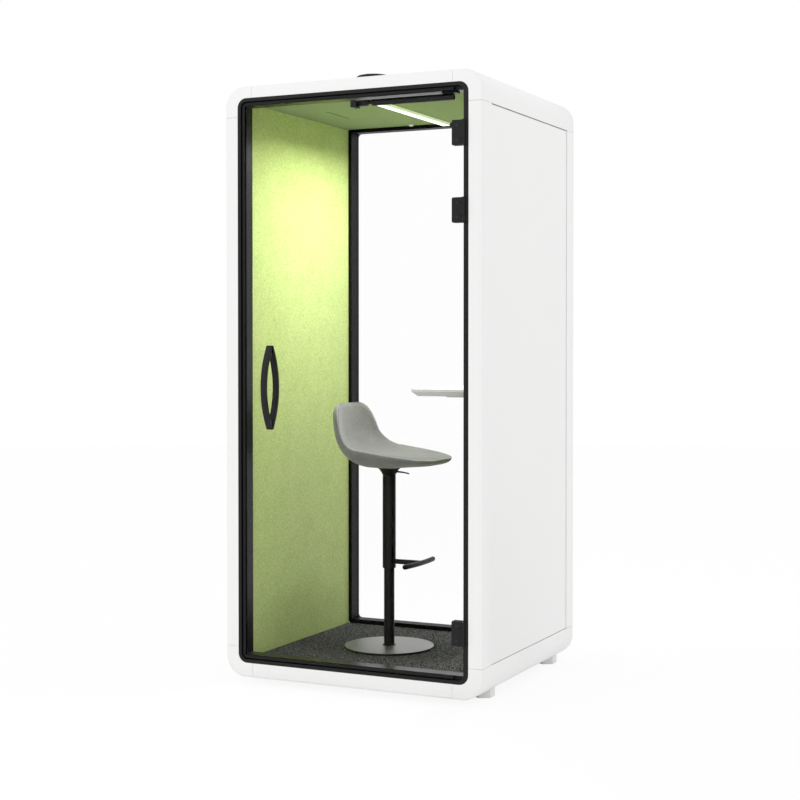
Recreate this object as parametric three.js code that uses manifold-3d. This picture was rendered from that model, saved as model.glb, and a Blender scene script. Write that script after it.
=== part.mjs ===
// Single-person acoustic office pod: a white rounded shell, a full-glass door and rear window,
// green felt linings, a wall desk and a height-adjustable stool. Millimetres, +Z up.
// Inside the pod group x runs left to right, y runs back from the shell's front face
// and z runs up from the shell's underside.
import * as THREE from 'three';
import { mergeVertices } from 'three/addons/utils/BufferGeometryUtils.js';
import Module from 'manifold-3d';

const wasm = await Module();
wasm.setup();

// Driving dimensions of the shell
const WIDTH = 1075;
const DEPTH = 970;
const HEIGHT = 2270;
const CORNER_RADIUS = 80;
const EDGE_ROUND = 10;
const SIDE_WALL = 55;
const ROOF_WALL = 46;
const FLOOR_WALL = 56;
const OPENING_RADIUS = 37;
const CORNER_LEG = 118;
const POST_DEPTH = 85;
const PANEL_RECESS = 3;
const ROOF_RECESS = 4;
const PANEL_REVEAL = 1.5;
const PANEL_THICKNESS = 14.5;
const FOOT_HEIGHT = 25;
const GAP = 0.3;
const PIN_CLEARANCE = 0.5;

// How far a cutter runs past the face that it cuts, and the sides of small, middling and large rounds
const PAST = 5;
const SMALL_ROUND = 16;
const MIDDLE_ROUND = 24;
const LARGE_ROUND = 40;

// Linings of the cabin
const FELT_THICKNESS = 9.2;
const CEILING_FELT_THICKNESS = 8.7;
const CARPET_THICKNESS = 6.1;
const DECK_UNDERSIDE = 12;

// Door frame and rear window frame, widths measured in from the opening's edge
const FRAME_DEPTH = 78;
const FRAME_SETBACK = 0.5;
const LIP = 13.5;
const HINGE_LIP = 19;
const STOP_START = 21;
const STOP_SIDE = 19;
const STOP_LEVEL = 28;
const REAR_STOP = 24;
const REAR_LIP = 20;
const REAR_REBATE = 15;
const GLASS = 10;
const GLASS_FRONT = 8;
const REAR_GLASS_FRONT = 944;

// Door leaf
const SEAL_OUTER = 18;
const SEAL_INNER = 28;
const SEAL_FLANGE = 2;
const GLASS_INSET = 21;
const GLASS_HINGE_EDGE = 458.2;

// Door hinges
const HINGE_X = 466;
const HINGE_Y = -7;
const HINGE_LEVELS = { upper: 2041.5, middle: 1764.5, lower: 240 };
const HINGE_HEIGHT = 91;
const HINGE_PLATE_LEFT = 416;
const HINGE_PLATE = 5.7;
const HINGE_CORNER = 6;
const KNUCKLE_RADIUS = 6;
const KNUCKLE_MIDDLE = 40;
const HINGE_PIN_RADIUS = 3;
const HINGE_LEAF_PLATE = 3;
const HINGE_LEAF_MARGIN = 2;
const HINGE_CLAMP_WALL = 3;
const HINGE_ARM_LAP = 1;

// Pull handles, one on each face of the glass
const HANDLE_X = -348;
const HANDLE_LEVEL = 1117;
const HANDLE_LENGTH = 322;
const HANDLE_WIDTH = 25;
const HANDLE_REACH = 46;
const HANDLE_THICKNESS = 12;
const HANDLE_FOOT = 30;
const HANDLE_EDGE = 2.5;

// Door closer
const CLOSER_PIVOT_X = 393;
const CLOSER_Y = 45;
const CLOSER_LEVEL = 2178;
const CLOSER_RADIUS = 12;
const CLOSER_TUBE_LEFT = 75;
const CLOSER_TUBE_RIGHT = 406;
const CLOSER_PIN_RADIUS = 4;
const CLOSER_ROD_RADIUS = 5;
const CLOSER_ROD_INSIDE = 150;
const CLOSER_END_LEFT = -3;
const CLOSER_END_RIGHT = 58;
const CLOSER_END_HEIGHT = 20;
const CLOSER_END_THICKNESS = 14;
const CLOSER_END_ROUND = 8;
const CLOSER_PLATE_HALF = 30;
const CLOSER_PLATE_HALF_DEPTH = 15;
const CLOSER_PIN_END_GAP = 1;
const CLOSER_JOINT_X = 8;
const CLOSER_JOINT_CLEARANCE = 1.5;
const DOOR_BRACKET_HALF = 11;
const DOOR_BRACKET_SHELF = 4;
const DOOR_BRACKET_OVERHANG = 10;
const DOOR_BRACKET_PLATE = 5;
const DOOR_BRACKET_STUD = 4;
const DOOR_BRACKET_STUD_DROP = 6;

// Roof fan
const FAN_Y = 206;
const FAN_DUCT_RADIUS = 62;
const FAN_BORE_RADIUS = 57;
const FAN_SPOKES = 3;
const FAN_SPOKE_WIDTH = 7;
const FAN_SPOKE_THICKNESS = 4;
const FAN_SPOKE_LAP = 2;
const FAN_MOTOR_RADIUS = 16;
const FAN_MOTOR_HEIGHT = 14;
const FAN_AXLE_RADIUS = 3;
const FAN_AXLE_HEIGHT = 34;
const FAN_HUB_RADIUS = 18;
const FAN_HUB_HEIGHT = 20;
const FAN_HUB_GAP = 1;
const FAN_BLADES = 7;
const FAN_BLADE_LENGTH = 38;
const FAN_BLADE_CHORD = 24;
const FAN_BLADE_THICKNESS = 2.5;
const FAN_BLADE_PITCH = THREE.MathUtils.degToRad(36);
const FAN_BLADE_CENTRE = 35;
const COWL_RADIUS = 70;
const COWL_RISE = 37;
const COWL_ROUND = 14;
const COWL_WALL = 3;
const COWL_AIR_GAP = 10;
const COWL_LEGS = 3;
const COWL_LEG_RADIUS = 4;
const COWL_LEG_INSET = 5;

// Ceiling light, air slot and presence sensor
const LIGHT_WIDTH = 32;
const LIGHT_HEIGHT = 12;
const LIGHT_WALL = 4;
const LIGHT_FACE = 3;
const LIGHT_START = 222;
const LIGHT_END = 882;
const SLOT_X = -310;
const SLOT_START = 396;
const SLOT_END = 586;
const SLOT_WIDTH = 9;
const SLOT_POCKET = 15;
const SENSOR_X = -154;
const SENSOR_Y = 858;
const SENSOR_RADIUS = 11;
const SENSOR_RISE = 8;
const SENSOR_RIM = 2;

// Desk and switch on the right-hand wall
const DESK_LEFT = 184;
const DESK_START = 150;
const DESK_END = 818;
const DESK_TOP = 1114.5;
const DESK_EDGE = 9;
const DESK_BEVEL_DROP = 17.5;
const DESK_BEVEL_INSET = 18;
const BRACKET_INSET = 60;
const BRACKET_PLATE = 4;
const BRACKET_DROP = 48;
const BRACKET_REACH = 170;
const SWITCH_Y = 300;
const SWITCH_LEVEL = 1250;
const SWITCH_SIZE = 86;
const SWITCH_DEPTH = 9;
const ROCKER_SIZE = 48;
const ROCKER_DEPTH = 5;
const ROCKER_CLEARANCE = 1.5;
const ROCKER_PROUD = 1;

// Levelling feet
const FOOT_X = 455;
const FOOT_ROWS = { front: 205, rear: 870 };
const FOOT_RADIUS = 44;
const FOOT_SIDES = 6;
const FOOT_SOCKET = 14;

// Stool
const STOOL_X = -73;
const STOOL_Y = 484;
const BASE_RADIUS = 180;
const BASE_THICKNESS = 9.5;
const BASE_EDGE = 2;
const BASE_FALL = 1;
const WELD_WIDTH = 8;
const WELD_RISE = 5;
const POST_RADIUS = 21;
const POST_BORE = 18;
const POST_FLOOR = 6;
const POST_TOP = 550;
const SLEEVE_RADIUS = 26.5;
const SLEEVE_BORE = 21.6;
const SLEEVE_BOTTOM = 389;
const SLEEVE_TOP = 757;
const SLEEVE_CAP = 5;
const SLEEVE_LIP = 1.5;
const GAS_ROD_RADIUS = 11;
const GAS_ROD_BOTTOM = 300;
const FOOTREST_LEVEL = 410;
const FOOTREST_REACH = 133;
const FOOTREST_BOW = 18;
const FOOTREST_HALF = 138;
const FOOTREST_RADIUS = 10;
const MOUNT_BOTTOM_RADIUS = 27;
const MOUNT_TOP_RADIUS = 45;
const MOUNT_COLLAR = 8;
const MOUNT_COLLAR_FLARE = 3;
const MOUNT_RIM = 4;
const MOUNT_RIM_FALL = 9;
const MOUNT_RIM_INSET = 6;
const SEAT_LEVEL = 784;
const LEVER_LEVEL = 773;
const LEVER_ROOT = 24;
const LEVER_BEND = 48;
const LEVER_TIP = 92;
const LEVER_DROP = 8;
const LEVER_WIDTH = 7;
const LEVER_THICKNESS = 5;
const LEVER_TIP_THICKNESS = 4;
const LEVER_SLOT_BACK = 3;
const LEVER_SLOT_SIDE = 1;
const LEVER_SLOT_DROP = 8;
const LEVER_SLOT_RISE = 7.5;

// Upholstered seat, lofted along a spine from its front edge to the top of its back
const SEAT_FRONT = 236;
const SEAT_RIM = 59;
const SEAT_PAN = 273;
const SEAT_BEND_RADIUS = 130;
const SEAT_BEND_ANGLE = THREE.MathUtils.degToRad(77);
const SEAT_BACK = 107;
const SEAT_PAN_HALF = 214;
const SEAT_BACK_HALF = 182;
const SEAT_FRONT_ROUNDING = 2.77;
const SEAT_BACK_ROUNDING = 3.76;
const SEAT_LIFT_FRONT = 2;
const SEAT_LIFT_REAR = 25;
const SEAT_WRAP = 32;
const SEAT_LIFT_GROWTH = 1.5;
const SEAT_SIDE_CURVE = 2.5;
const SEAT_BELLY_EDGE = 3;
const SEAT_BELLY_ROUNDING = 2.2;
const SEAT_PAN_THICKNESS = 55;
const SEAT_BACK_THICKNESS = 44;
const SEAT_STATIONS = 28;
const SEAT_COLUMNS = 14;

// Levels and edges that follow from the driving dimensions
const HALF_WIDTH = WIDTH / 2;
const INNER_X = HALF_WIDTH - SIDE_WALL;
const INNER_FLOOR = FLOOR_WALL;
const INNER_ROOF = HEIGHT - ROOF_WALL;
const SEAM_X = HALF_WIDTH - CORNER_LEG;
const SEAM_LOW = CORNER_LEG;
const SEAM_HIGH = HEIGHT - CORNER_LEG;
const REAR_POST_START = DEPTH - POST_DEPTH;
const LINING_START = FRAME_DEPTH;
const LINING_END = DEPTH - FRAME_DEPTH;
const FELT_FACE = INNER_X - GAP - FELT_THICKNESS;
const CEILING = INNER_ROOF - GAP - CEILING_FELT_THICKNESS;
const CARPET_TOP = INNER_FLOOR + GAP + CARPET_THICKNESS;
const ROOF_PANEL_TOP = HEIGHT - ROOF_RECESS;
const ROOF_PANEL_BOTTOM = ROOF_PANEL_TOP - PANEL_THICKNESS;
const DESK_UNDERSIDE = DESK_TOP - DESK_EDGE - DESK_BEVEL_DROP;

// Solid helpers

/** Signed volume of an indexed triangle mesh, from the sum of its origin tetrahedra. */
function signedVolume(points, triangles) {
  const corner = [new THREE.Vector3(), new THREE.Vector3(), new THREE.Vector3()];
  let six = 0;
  for (let i = 0; i < triangles.length; i += 3) {
    corner.forEach((vector, k) => vector.fromArray(points, 3 * triangles[i + k]));
    six += corner[0].dot(corner[1].cross(corner[2]));
  }
  return six / 6;
}

/** Closed three.js geometry as a solid, with shared corners merged and faces pointing out. */
function solidOf(geometry) {
  const bare = geometry.clone();
  bare.deleteAttribute('normal');
  bare.deleteAttribute('uv');
  const merged = mergeVertices(bare, 1e-3);
  const points = new Float32Array(merged.attributes.position.array);
  const source = merged.index.array;
  const kept = [];
  for (let i = 0; i < source.length; i += 3) {
    const [a, b, c] = source.slice(i, i + 3);
    if (a !== b && b !== c && c !== a) {
      kept.push(a, b, c);
    }
  }
  if (signedVolume(points, kept) < 0) {
    kept.reverse();
  }
  const mesh = new wasm.Mesh({ numProp: 3, vertProperties: points, triVerts: new Uint32Array(kept) });
  return new wasm.Manifold(mesh);
}

/** Solid as an indexed three.js geometry. */
function geometryOf(solid) {
  const mesh = solid.getMesh();
  const geometry = new THREE.BufferGeometry();
  geometry.setAttribute('position', new THREE.BufferAttribute(mesh.vertProperties, 3));
  geometry.setIndex(new THREE.BufferAttribute(mesh.triVerts, 1));
  geometry.computeVertexNormals();
  return geometry;
}

/** Joins a list of solids into one. */
function joined(solids) {
  return solids.reduce((whole, solid) => whole.add(solid));
}

/** Box between two opposite corners. */
function box(x0, x1, y0, y1, z0, z1) {
  const geometry = new THREE.BoxGeometry(x1 - x0, y1 - y0, z1 - z0);
  geometry.translate((x0 + x1) / 2, (y0 + y1) / 2, (z0 + z1) / 2);
  return solidOf(geometry);
}

/** Upright cylinder. */
function cylinder(radius, x, y, z0, z1, sides = SMALL_ROUND) {
  const geometry = new THREE.CylinderGeometry(radius, radius, z1 - z0, sides);
  geometry.rotateX(Math.PI / 2);
  geometry.translate(x, y, (z0 + z1) / 2);
  return solidOf(geometry);
}

/** Cylinder along x. */
function rodAlongX(radius, x0, x1, y, z, sides = MIDDLE_ROUND) {
  const geometry = new THREE.CylinderGeometry(radius, radius, x1 - x0, sides);
  geometry.rotateZ(Math.PI / 2);
  geometry.translate((x0 + x1) / 2, y, z);
  return solidOf(geometry);
}

/** Quarter arc of [radius, height] pairs about a centre, from straight out to straight up. */
function quarterArc(centreRadius, centreHeight, radius, steps = 3) {
  return Array.from({ length: steps + 1 }, (_, i) => {
    const angle = i * Math.PI / 2 / steps;
    return [centreRadius + radius * Math.cos(angle), centreHeight + radius * Math.sin(angle)];
  });
}

/** Outline turned about the upright axis, from [radius, height] pairs. */
function turned(outline, sides = MIDDLE_ROUND) {
  const geometry = new THREE.LatheGeometry(outline.map(([r, h]) => new THREE.Vector2(r, h)), sides);
  geometry.rotateX(Math.PI / 2);
  return solidOf(geometry);
}

/** Rectangle with round corners, in the x-z plane of the pod's front. */
function roundedRectangle(x0, x1, z0, z1, radius) {
  const shape = new THREE.Shape();
  shape.moveTo(x0 + radius, z0);
  shape.absarc(x1 - radius, z0 + radius, radius, -Math.PI / 2, 0);
  shape.absarc(x1 - radius, z1 - radius, radius, 0, Math.PI / 2);
  shape.absarc(x0 + radius, z1 - radius, radius, Math.PI / 2, Math.PI);
  shape.absarc(x0 + radius, z0 + radius, radius, Math.PI, 1.5 * Math.PI);
  return shape;
}

/** Shape in the x-z plane carried back from depth y0 to depth y1, with optional round end edges. */
function carriedBack(shape, y0, y1, edge = 0, curveSegments = 5) {
  const geometry = new THREE.ExtrudeGeometry(shape, {
    depth: y1 - y0 - 2 * edge,
    curveSegments,
    bevelEnabled: edge > 0,
    bevelThickness: edge,
    bevelSize: edge,
    bevelOffset: -edge,
    bevelSegments: 3,
  });
  geometry.rotateX(Math.PI / 2);
  geometry.translate(0, y1 - edge, 0);
  return solidOf(geometry);
}

/** Prism over the shell opening, drawn in by an inset on every side. */
function openingPrism(inset, y0, y1) {
  const half = INNER_X - inset;
  const bottom = INNER_FLOOR + inset;
  const top = INNER_ROOF - inset;
  const shape = roundedRectangle(-half, half, bottom, top, OPENING_RADIUS - inset);
  return carriedBack(shape, y0, y1);
}

// Materials

const finishes = {
  shellWhite: { color: 0xf2f2f0, roughness: 0.35, metalness: 0 },
  corePad: { color: 0x8d8f8c, roughness: 0.95, metalness: 0 },
  greenFelt: { color: 0x9dbb5c, roughness: 0.97, metalness: 0 },
  carpet: { color: 0x4c4d4c, roughness: 1, metalness: 0 },
  deckBoard: { color: 0xb49a74, roughness: 0.8, metalness: 0 },
  frameBlack: { color: 0x1c1c1d, roughness: 0.45, metalness: 0.2 },
  sealBlack: { color: 0x141414, roughness: 0.8, metalness: 0 },
  clearGlass: { color: 0xf4fbf8, roughness: 0.02, metalness: 0, transparent: true, opacity: 0.15 },
  hardwareBlack: { color: 0x242425, roughness: 0.5, metalness: 0.6 },
  ventBlack: { color: 0x1a1b1c, roughness: 0.6, metalness: 0 },
  lampWhite: { color: 0xffffff, roughness: 0.5, metalness: 0, emissive: 0xffffff },
  lampBody: { color: 0xc8cacb, roughness: 0.4, metalness: 0.8 },
  deskGrey: { color: 0xe3e3e1, roughness: 0.5, metalness: 0 },
  switchWhite: { color: 0xefefec, roughness: 0.4, metalness: 0 },
  stoolBlack: { color: 0x2a2a2b, roughness: 0.5, metalness: 0.5 },
  baseMetal: { color: 0x6f7071, roughness: 0.35, metalness: 0.9 },
  seatFabric: { color: 0x8b8c88, roughness: 0.95, metalness: 0 },
};

/** Adds a named sub-part with its own material to a group. */
function addPart(group, name, solid, finish) {
  const mesh = new THREE.Mesh(geometryOf(solid), new THREE.MeshStandardMaterial(finishes[finish]));
  mesh.name = name;
  group.add(mesh);
}

const pod = new THREE.Group();
pod.position.set(0, -(DEPTH - (HANDLE_REACH - GLASS_FRONT)) / 2, FOOT_HEIGHT);

// Shell: four full-depth corner profiles, four front and four rear members

const envelope = carriedBack(
  roundedRectangle(-HALF_WIDTH, HALF_WIDTH, 0, HEIGHT, CORNER_RADIUS), 0, DEPTH, EDGE_ROUND, 8);
const tunnel = joined([
  openingPrism(0, -PAST, DEPTH + PAST),
  box(-INNER_X, INNER_X, LINING_START, LINING_END, INNER_FLOOR, INNER_ROOF),
]);

/** Piece of the hollow shell inside a box, cut back by the seam gap. */
function shellPiece(x0, x1, y0, y1, z0, z1) {
  const region = box(x0 + GAP, x1 - GAP, y0 + GAP, y1 - GAP, z0 + GAP, z1 - GAP);
  return envelope.intersect(region).subtract(tunnel);
}

const OUT_X = HALF_WIDTH + PAST;
const sides = { left: [-OUT_X, -SEAM_X], right: [SEAM_X, OUT_X] };
const levels = { bottom: [-PAST, SEAM_LOW], top: [SEAM_HIGH, HEIGHT + PAST] };
const rows = { front: [-PAST, POST_DEPTH], rear: [REAR_POST_START, DEPTH + PAST] };

for (const [level, [z0, z1]] of Object.entries(levels)) {
  for (const [side, [x0, x1]] of Object.entries(sides)) {
    const profile = shellPiece(x0, x1, -PAST, DEPTH + PAST, z0, z1);
    addPart(pod, `corner_profile_${level}_${side}`, profile, 'shellWhite');
  }
}
for (const [row, [y0, y1]] of Object.entries(rows)) {
  for (const [side, [x0, x1]] of Object.entries(sides)) {
    addPart(pod, `${row}_${side}_post`, shellPiece(x0, x1, y0, y1, SEAM_LOW, SEAM_HIGH), 'shellWhite');
  }
  for (const [level, [z0, z1]] of Object.entries(levels)) {
    addPart(pod, `${row}_${level}_rail`, shellPiece(-SEAM_X, SEAM_X, y0, y1, z0, z1), 'shellWhite');
  }
}

// Wall, roof and floor build-up between the shell members

/** Box mirrored to the left or the right wall, from distances to the pod's centre plane. */
function wallBox(sign, near, far, y0, y1, z0, z1) {
  return sign > 0 ? box(near, far, y0, y1, z0, z1) : box(-far, -near, y0, y1, z0, z1);
}

const fanDuct = cylinder(FAN_DUCT_RADIUS, 0, FAN_Y, CEILING - PAST, HEIGHT + PAST, LARGE_ROUND);
const airSlot = box(
  SLOT_X - SLOT_WIDTH / 2, SLOT_X + SLOT_WIDTH / 2, SLOT_START, SLOT_END,
  CEILING - PAST, INNER_ROOF + SLOT_POCKET);
const panelFace = HALF_WIDTH - PANEL_RECESS;
const panelBack = panelFace - PANEL_THICKNESS;
const coreStart = POST_DEPTH + GAP;
const coreEnd = REAR_POST_START - GAP;
const panelStart = POST_DEPTH + PANEL_REVEAL;
const panelEnd = REAR_POST_START - PANEL_REVEAL;
const feltStart = LINING_START + GAP;
const feltEnd = LINING_END - GAP;

for (const [side, sign] of [['left', -1], ['right', 1]]) {
  const panel = wallBox(
    sign, panelBack, panelFace, panelStart, panelEnd, SEAM_LOW + PANEL_REVEAL, SEAM_HIGH - 2 * PANEL_REVEAL);
  const core = wallBox(
    sign, INNER_X + GAP, panelBack - GAP, coreStart, coreEnd, SEAM_LOW + GAP, SEAM_HIGH - GAP);
  const felt = wallBox(
    sign, FELT_FACE, INNER_X - GAP, feltStart, feltEnd, CARPET_TOP + GAP, CEILING - GAP);
  addPart(pod, `${side}_side_panel`, panel, 'shellWhite');
  addPart(pod, `${side}_acoustic_core`, core, 'corePad');
  addPart(pod, `${side}_felt_wall`, felt, 'greenFelt');
}

const roofHalf = SEAM_X - PANEL_REVEAL;
const roofPanel = box(-roofHalf, roofHalf, panelStart, panelEnd, ROOF_PANEL_BOTTOM, ROOF_PANEL_TOP);
addPart(pod, 'roof_panel', roofPanel.subtract(fanDuct), 'shellWhite');

const roofCore = box(-SEAM_X, SEAM_X, coreStart, coreEnd, INNER_ROOF + GAP, ROOF_PANEL_BOTTOM - GAP);
addPart(pod, 'roof_acoustic_core', roofCore.subtract(fanDuct).subtract(airSlot), 'corePad');

const liningHalf = INNER_X - GAP;
const ceilingFelt = box(-liningHalf, liningHalf, feltStart, feltEnd, CEILING, INNER_ROOF - GAP);
addPart(pod, 'ceiling_felt', ceilingFelt.subtract(fanDuct).subtract(airSlot), 'greenFelt');

const deck = box(-SEAM_X, SEAM_X, coreStart, coreEnd, DECK_UNDERSIDE, INNER_FLOOR - GAP);
addPart(pod, 'floor_deck', deck, 'deckBoard');

const carpet = box(-liningHalf, liningHalf, feltStart, feltEnd, INNER_FLOOR + GAP, CARPET_TOP);
addPart(pod, 'carpet', carpet, 'carpet');

// Door frame: a lip beside the door's edge and a deeper stop behind it

const frameBlank = openingPrism(GAP, FRAME_SETBACK, LINING_START - GAP);
const lipOpening = carriedBack(
  roundedRectangle(
    -INNER_X + LIP, INNER_X - HINGE_LIP, INNER_FLOOR + LIP, INNER_ROOF - LIP, OPENING_RADIUS - LIP),
  -PAST, STOP_START);
const stopOpening = box(
  -INNER_X + STOP_SIDE, INNER_X - STOP_SIDE, STOP_START - PAST, LINING_START + PAST,
  INNER_FLOOR + STOP_LEVEL, INNER_ROOF - STOP_LEVEL);
addPart(pod, 'door_frame', frameBlank.subtract(lipOpening).subtract(stopOpening), 'frameBlack');

// Rear window: a frame with a glazing groove and a fixed pane

const rearBlank = openingPrism(GAP, LINING_END + GAP, DEPTH - FRAME_SETBACK);
const rearStopOpening = box(
  -INNER_X + REAR_STOP, INNER_X - REAR_STOP, LINING_END - PAST, REAR_GLASS_FRONT,
  INNER_FLOOR + REAR_STOP, INNER_ROOF - REAR_STOP);
const rearGroove = openingPrism(REAR_REBATE - GAP, REAR_GLASS_FRONT - GAP, REAR_GLASS_FRONT + GLASS + GAP);
const rearLipOpening = openingPrism(REAR_LIP, REAR_GLASS_FRONT + GLASS, DEPTH + PAST);
const rearFrame = rearBlank.subtract(rearStopOpening).subtract(rearGroove).subtract(rearLipOpening);
addPart(pod, 'rear_window_frame', rearFrame, 'frameBlack');
const rearPane = openingPrism(REAR_REBATE, REAR_GLASS_FRONT, REAR_GLASS_FRONT + GLASS);
addPart(pod, 'rear_glass', rearPane, 'clearGlass');

// Door leaf: one pane with a channel seal round its three free edges

/** Pane-shaped prism grown by a clearance. */
function doorPane(grow) {
  const inset = GLASS_INSET - grow;
  const shape = roundedRectangle(
    -INNER_X + inset, GLASS_HINGE_EDGE + grow, INNER_FLOOR + inset, INNER_ROOF - inset,
    OPENING_RADIUS - inset);
  return carriedBack(shape, GLASS_FRONT - grow, GLASS_FRONT + GLASS + grow);
}

addPart(pod, 'door_glass', doorPane(0), 'clearGlass');

const sealBlank = openingPrism(SEAL_OUTER, GLASS_FRONT - SEAL_FLANGE, GLASS_FRONT + GLASS + SEAL_FLANGE);
const sealWindow = box(
  -INNER_X + SEAL_INNER, INNER_X, -PAST, LINING_START,
  INNER_FLOOR + SEAL_INNER, INNER_ROOF - SEAL_INNER);
const hingeSide = box(GLASS_HINGE_EDGE - OPENING_RADIUS, INNER_X, -PAST, LINING_START, 0, HEIGHT);
const seal = sealBlank.subtract(sealWindow).subtract(hingeSide).subtract(doorPane(GAP));
addPart(pod, 'door_edge_seal', seal, 'sealBlack');

// Hinges: a leaf with its pin on the frame and a clamp round the glass edge

/** Fixed hinge leaf with two outer knuckles and the pin. */
function hingeLeaf(level) {
  const z0 = level - HINGE_HEIGHT / 2;
  const z1 = level + HINGE_HEIGHT / 2;
  const plateBack = FRAME_SETBACK - GAP;
  const plate = box(HINGE_X, INNER_X - HINGE_LEAF_MARGIN, plateBack - HINGE_LEAF_PLATE, plateBack, z0, z1);
  const knuckles = cylinder(KNUCKLE_RADIUS, HINGE_X, HINGE_Y, z0, z1, MIDDLE_ROUND);
  const web = box(HINGE_X, HINGE_X + KNUCKLE_RADIUS, HINGE_Y, plateBack, z0, z1);
  const gapRadius = KNUCKLE_RADIUS + PIN_CLEARANCE;
  const gapHalf = KNUCKLE_MIDDLE / 2 + PIN_CLEARANCE;
  const gap = cylinder(gapRadius, HINGE_X, HINGE_Y, level - gapHalf, level + gapHalf, MIDDLE_ROUND);
  const pin = cylinder(HINGE_PIN_RADIUS, HINGE_X, HINGE_Y, z0, z1);
  return joined([plate, knuckles, web]).subtract(gap).add(pin);
}

/** Moving hinge half: a channel round the glass edge with the middle knuckle. */
function hingeClamp(level) {
  const z0 = level - HINGE_HEIGHT / 2;
  const z1 = level + HINGE_HEIGHT / 2;
  const front = GLASS_FRONT - GAP - HINGE_PLATE;
  const back = GLASS_FRONT + GLASS + GAP + HINGE_PLATE;
  const slotEnd = GLASS_HINGE_EDGE + GAP;
  const edge = slotEnd + HINGE_CLAMP_WALL;
  const block = carriedBack(roundedRectangle(HINGE_PLATE_LEFT, edge, z0, z1, HINGE_CORNER), front, back);
  const low = level - KNUCKLE_MIDDLE / 2;
  const high = level + KNUCKLE_MIDDLE / 2;
  const knuckle = cylinder(KNUCKLE_RADIUS, HINGE_X, HINGE_Y, low, high, MIDDLE_ROUND);
  const armEnd = HINGE_X - HINGE_PIN_RADIUS;
  const arm = box(edge - 2 * KNUCKLE_RADIUS, armEnd, HINGE_Y, front + HINGE_ARM_LAP, low, high);
  const bore = cylinder(HINGE_PIN_RADIUS + PIN_CLEARANCE, HINGE_X, HINGE_Y, z0, z1);
  const slot = box(0, slotEnd, GLASS_FRONT - GAP, GLASS_FRONT + GLASS + GAP, z0 - PAST, z1 + PAST);
  return joined([block, knuckle, arm]).subtract(bore).subtract(slot);
}

for (const [place, level] of Object.entries(HINGE_LEVELS)) {
  addPart(pod, `${place}_hinge_leaf`, hingeLeaf(level), 'hardwareBlack');
  addPart(pod, `${place}_hinge_clamp`, hingeClamp(level), 'hardwareBlack');
}

// Pull handles: two bows, back to back on the glass

/** Adds an arc to a shape between two points on its y axis, bowed towards -x by a sagitta. */
function bowTo(shape, from, to, sagitta, steps = 14) {
  const chord = new THREE.Vector2().subVectors(to, from);
  const half = chord.length() / 2;
  const radius = (half * half + sagitta * sagitta) / (2 * sagitta);
  const along = chord.clone().normalize();
  const across = new THREE.Vector2(-1, 0);
  for (let i = 1; i <= steps; i += 1) {
    const offset = (2 * i / steps - 1) * half;
    const rise = Math.sqrt(radius * radius - offset * offset) - (radius - sagitta);
    const point = from.clone().addScaledVector(along, offset + half).addScaledVector(across, rise);
    shape.lineTo(point.x, point.y);
  }
}

/** Bow handle standing off the plane y = 0 towards -y, centred on its own length. */
function bowHandle() {
  const half = HANDLE_LENGTH / 2;
  const inner = half - HANDLE_FOOT;
  const reach = HANDLE_REACH - GAP;
  const ends = [
    new THREE.Vector2(0, half), new THREE.Vector2(0, -half),
    new THREE.Vector2(0, -inner), new THREE.Vector2(0, inner),
  ];
  const shape = new THREE.Shape();
  shape.moveTo(ends[0].x, ends[0].y);
  bowTo(shape, ends[0], ends[1], reach);
  shape.lineTo(ends[2].x, ends[2].y);
  bowTo(shape, ends[2], ends[3], reach - HANDLE_THICKNESS);
  const geometry = new THREE.ExtrudeGeometry(shape, {
    depth: HANDLE_WIDTH - 2 * HANDLE_EDGE,
    bevelEnabled: true,
    bevelThickness: HANDLE_EDGE,
    bevelSize: HANDLE_EDGE,
    bevelOffset: -HANDLE_EDGE,
    bevelSegments: 2,
  });
  geometry.translate(0, 0, HANDLE_EDGE - HANDLE_WIDTH / 2);
  return geometry;
}

const handles = [
  ['outer_pull_handle', GLASS_FRONT - GAP, 0],
  ['inner_pull_handle', GLASS_FRONT + GLASS + GAP, Math.PI],
];
for (const [name, y, turn] of handles) {
  const geometry = bowHandle();
  geometry.rotateX(Math.PI / 2);
  geometry.rotateZ(Math.PI / 2 + turn);
  geometry.translate(HANDLE_X, y, HANDLE_LEVEL);
  addPart(pod, name, solidOf(geometry), 'hardwareBlack');
}

// Door closer: a tube that turns under the frame, with a rod that draws out towards the door

const closerCeiling = INNER_ROOF - STOP_LEVEL - GAP;
const closerPinEnd = CLOSER_LEVEL - CLOSER_RADIUS / 2;
const closerPlate = box(
  CLOSER_PIVOT_X - CLOSER_PLATE_HALF, CLOSER_PIVOT_X + CLOSER_PLATE_HALF,
  CLOSER_Y - CLOSER_PLATE_HALF_DEPTH, CLOSER_Y + CLOSER_PLATE_HALF_DEPTH,
  CLOSER_LEVEL + CLOSER_RADIUS + GAP, closerCeiling);
const closerPin = cylinder(CLOSER_PIN_RADIUS, CLOSER_PIVOT_X, CLOSER_Y, closerPinEnd, closerCeiling);
addPart(pod, 'closer_frame_bracket', closerPlate.add(closerPin), 'hardwareBlack');

const closerTube = rodAlongX(CLOSER_RADIUS, CLOSER_TUBE_LEFT, CLOSER_TUBE_RIGHT, CLOSER_Y, CLOSER_LEVEL);
const closerPinHole = cylinder(
  CLOSER_PIN_RADIUS + PIN_CLEARANCE, CLOSER_PIVOT_X, CLOSER_Y,
  closerPinEnd - CLOSER_PIN_END_GAP, CLOSER_LEVEL + CLOSER_RADIUS + PAST);
const rodRight = CLOSER_TUBE_LEFT + CLOSER_ROD_INSIDE;
const closerBore = rodAlongX(
  CLOSER_ROD_RADIUS + PIN_CLEARANCE, CLOSER_TUBE_LEFT - PAST, rodRight + PAST, CLOSER_Y, CLOSER_LEVEL);
addPart(pod, 'closer_tube', closerTube.subtract(closerPinHole).subtract(closerBore), 'hardwareBlack');

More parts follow.
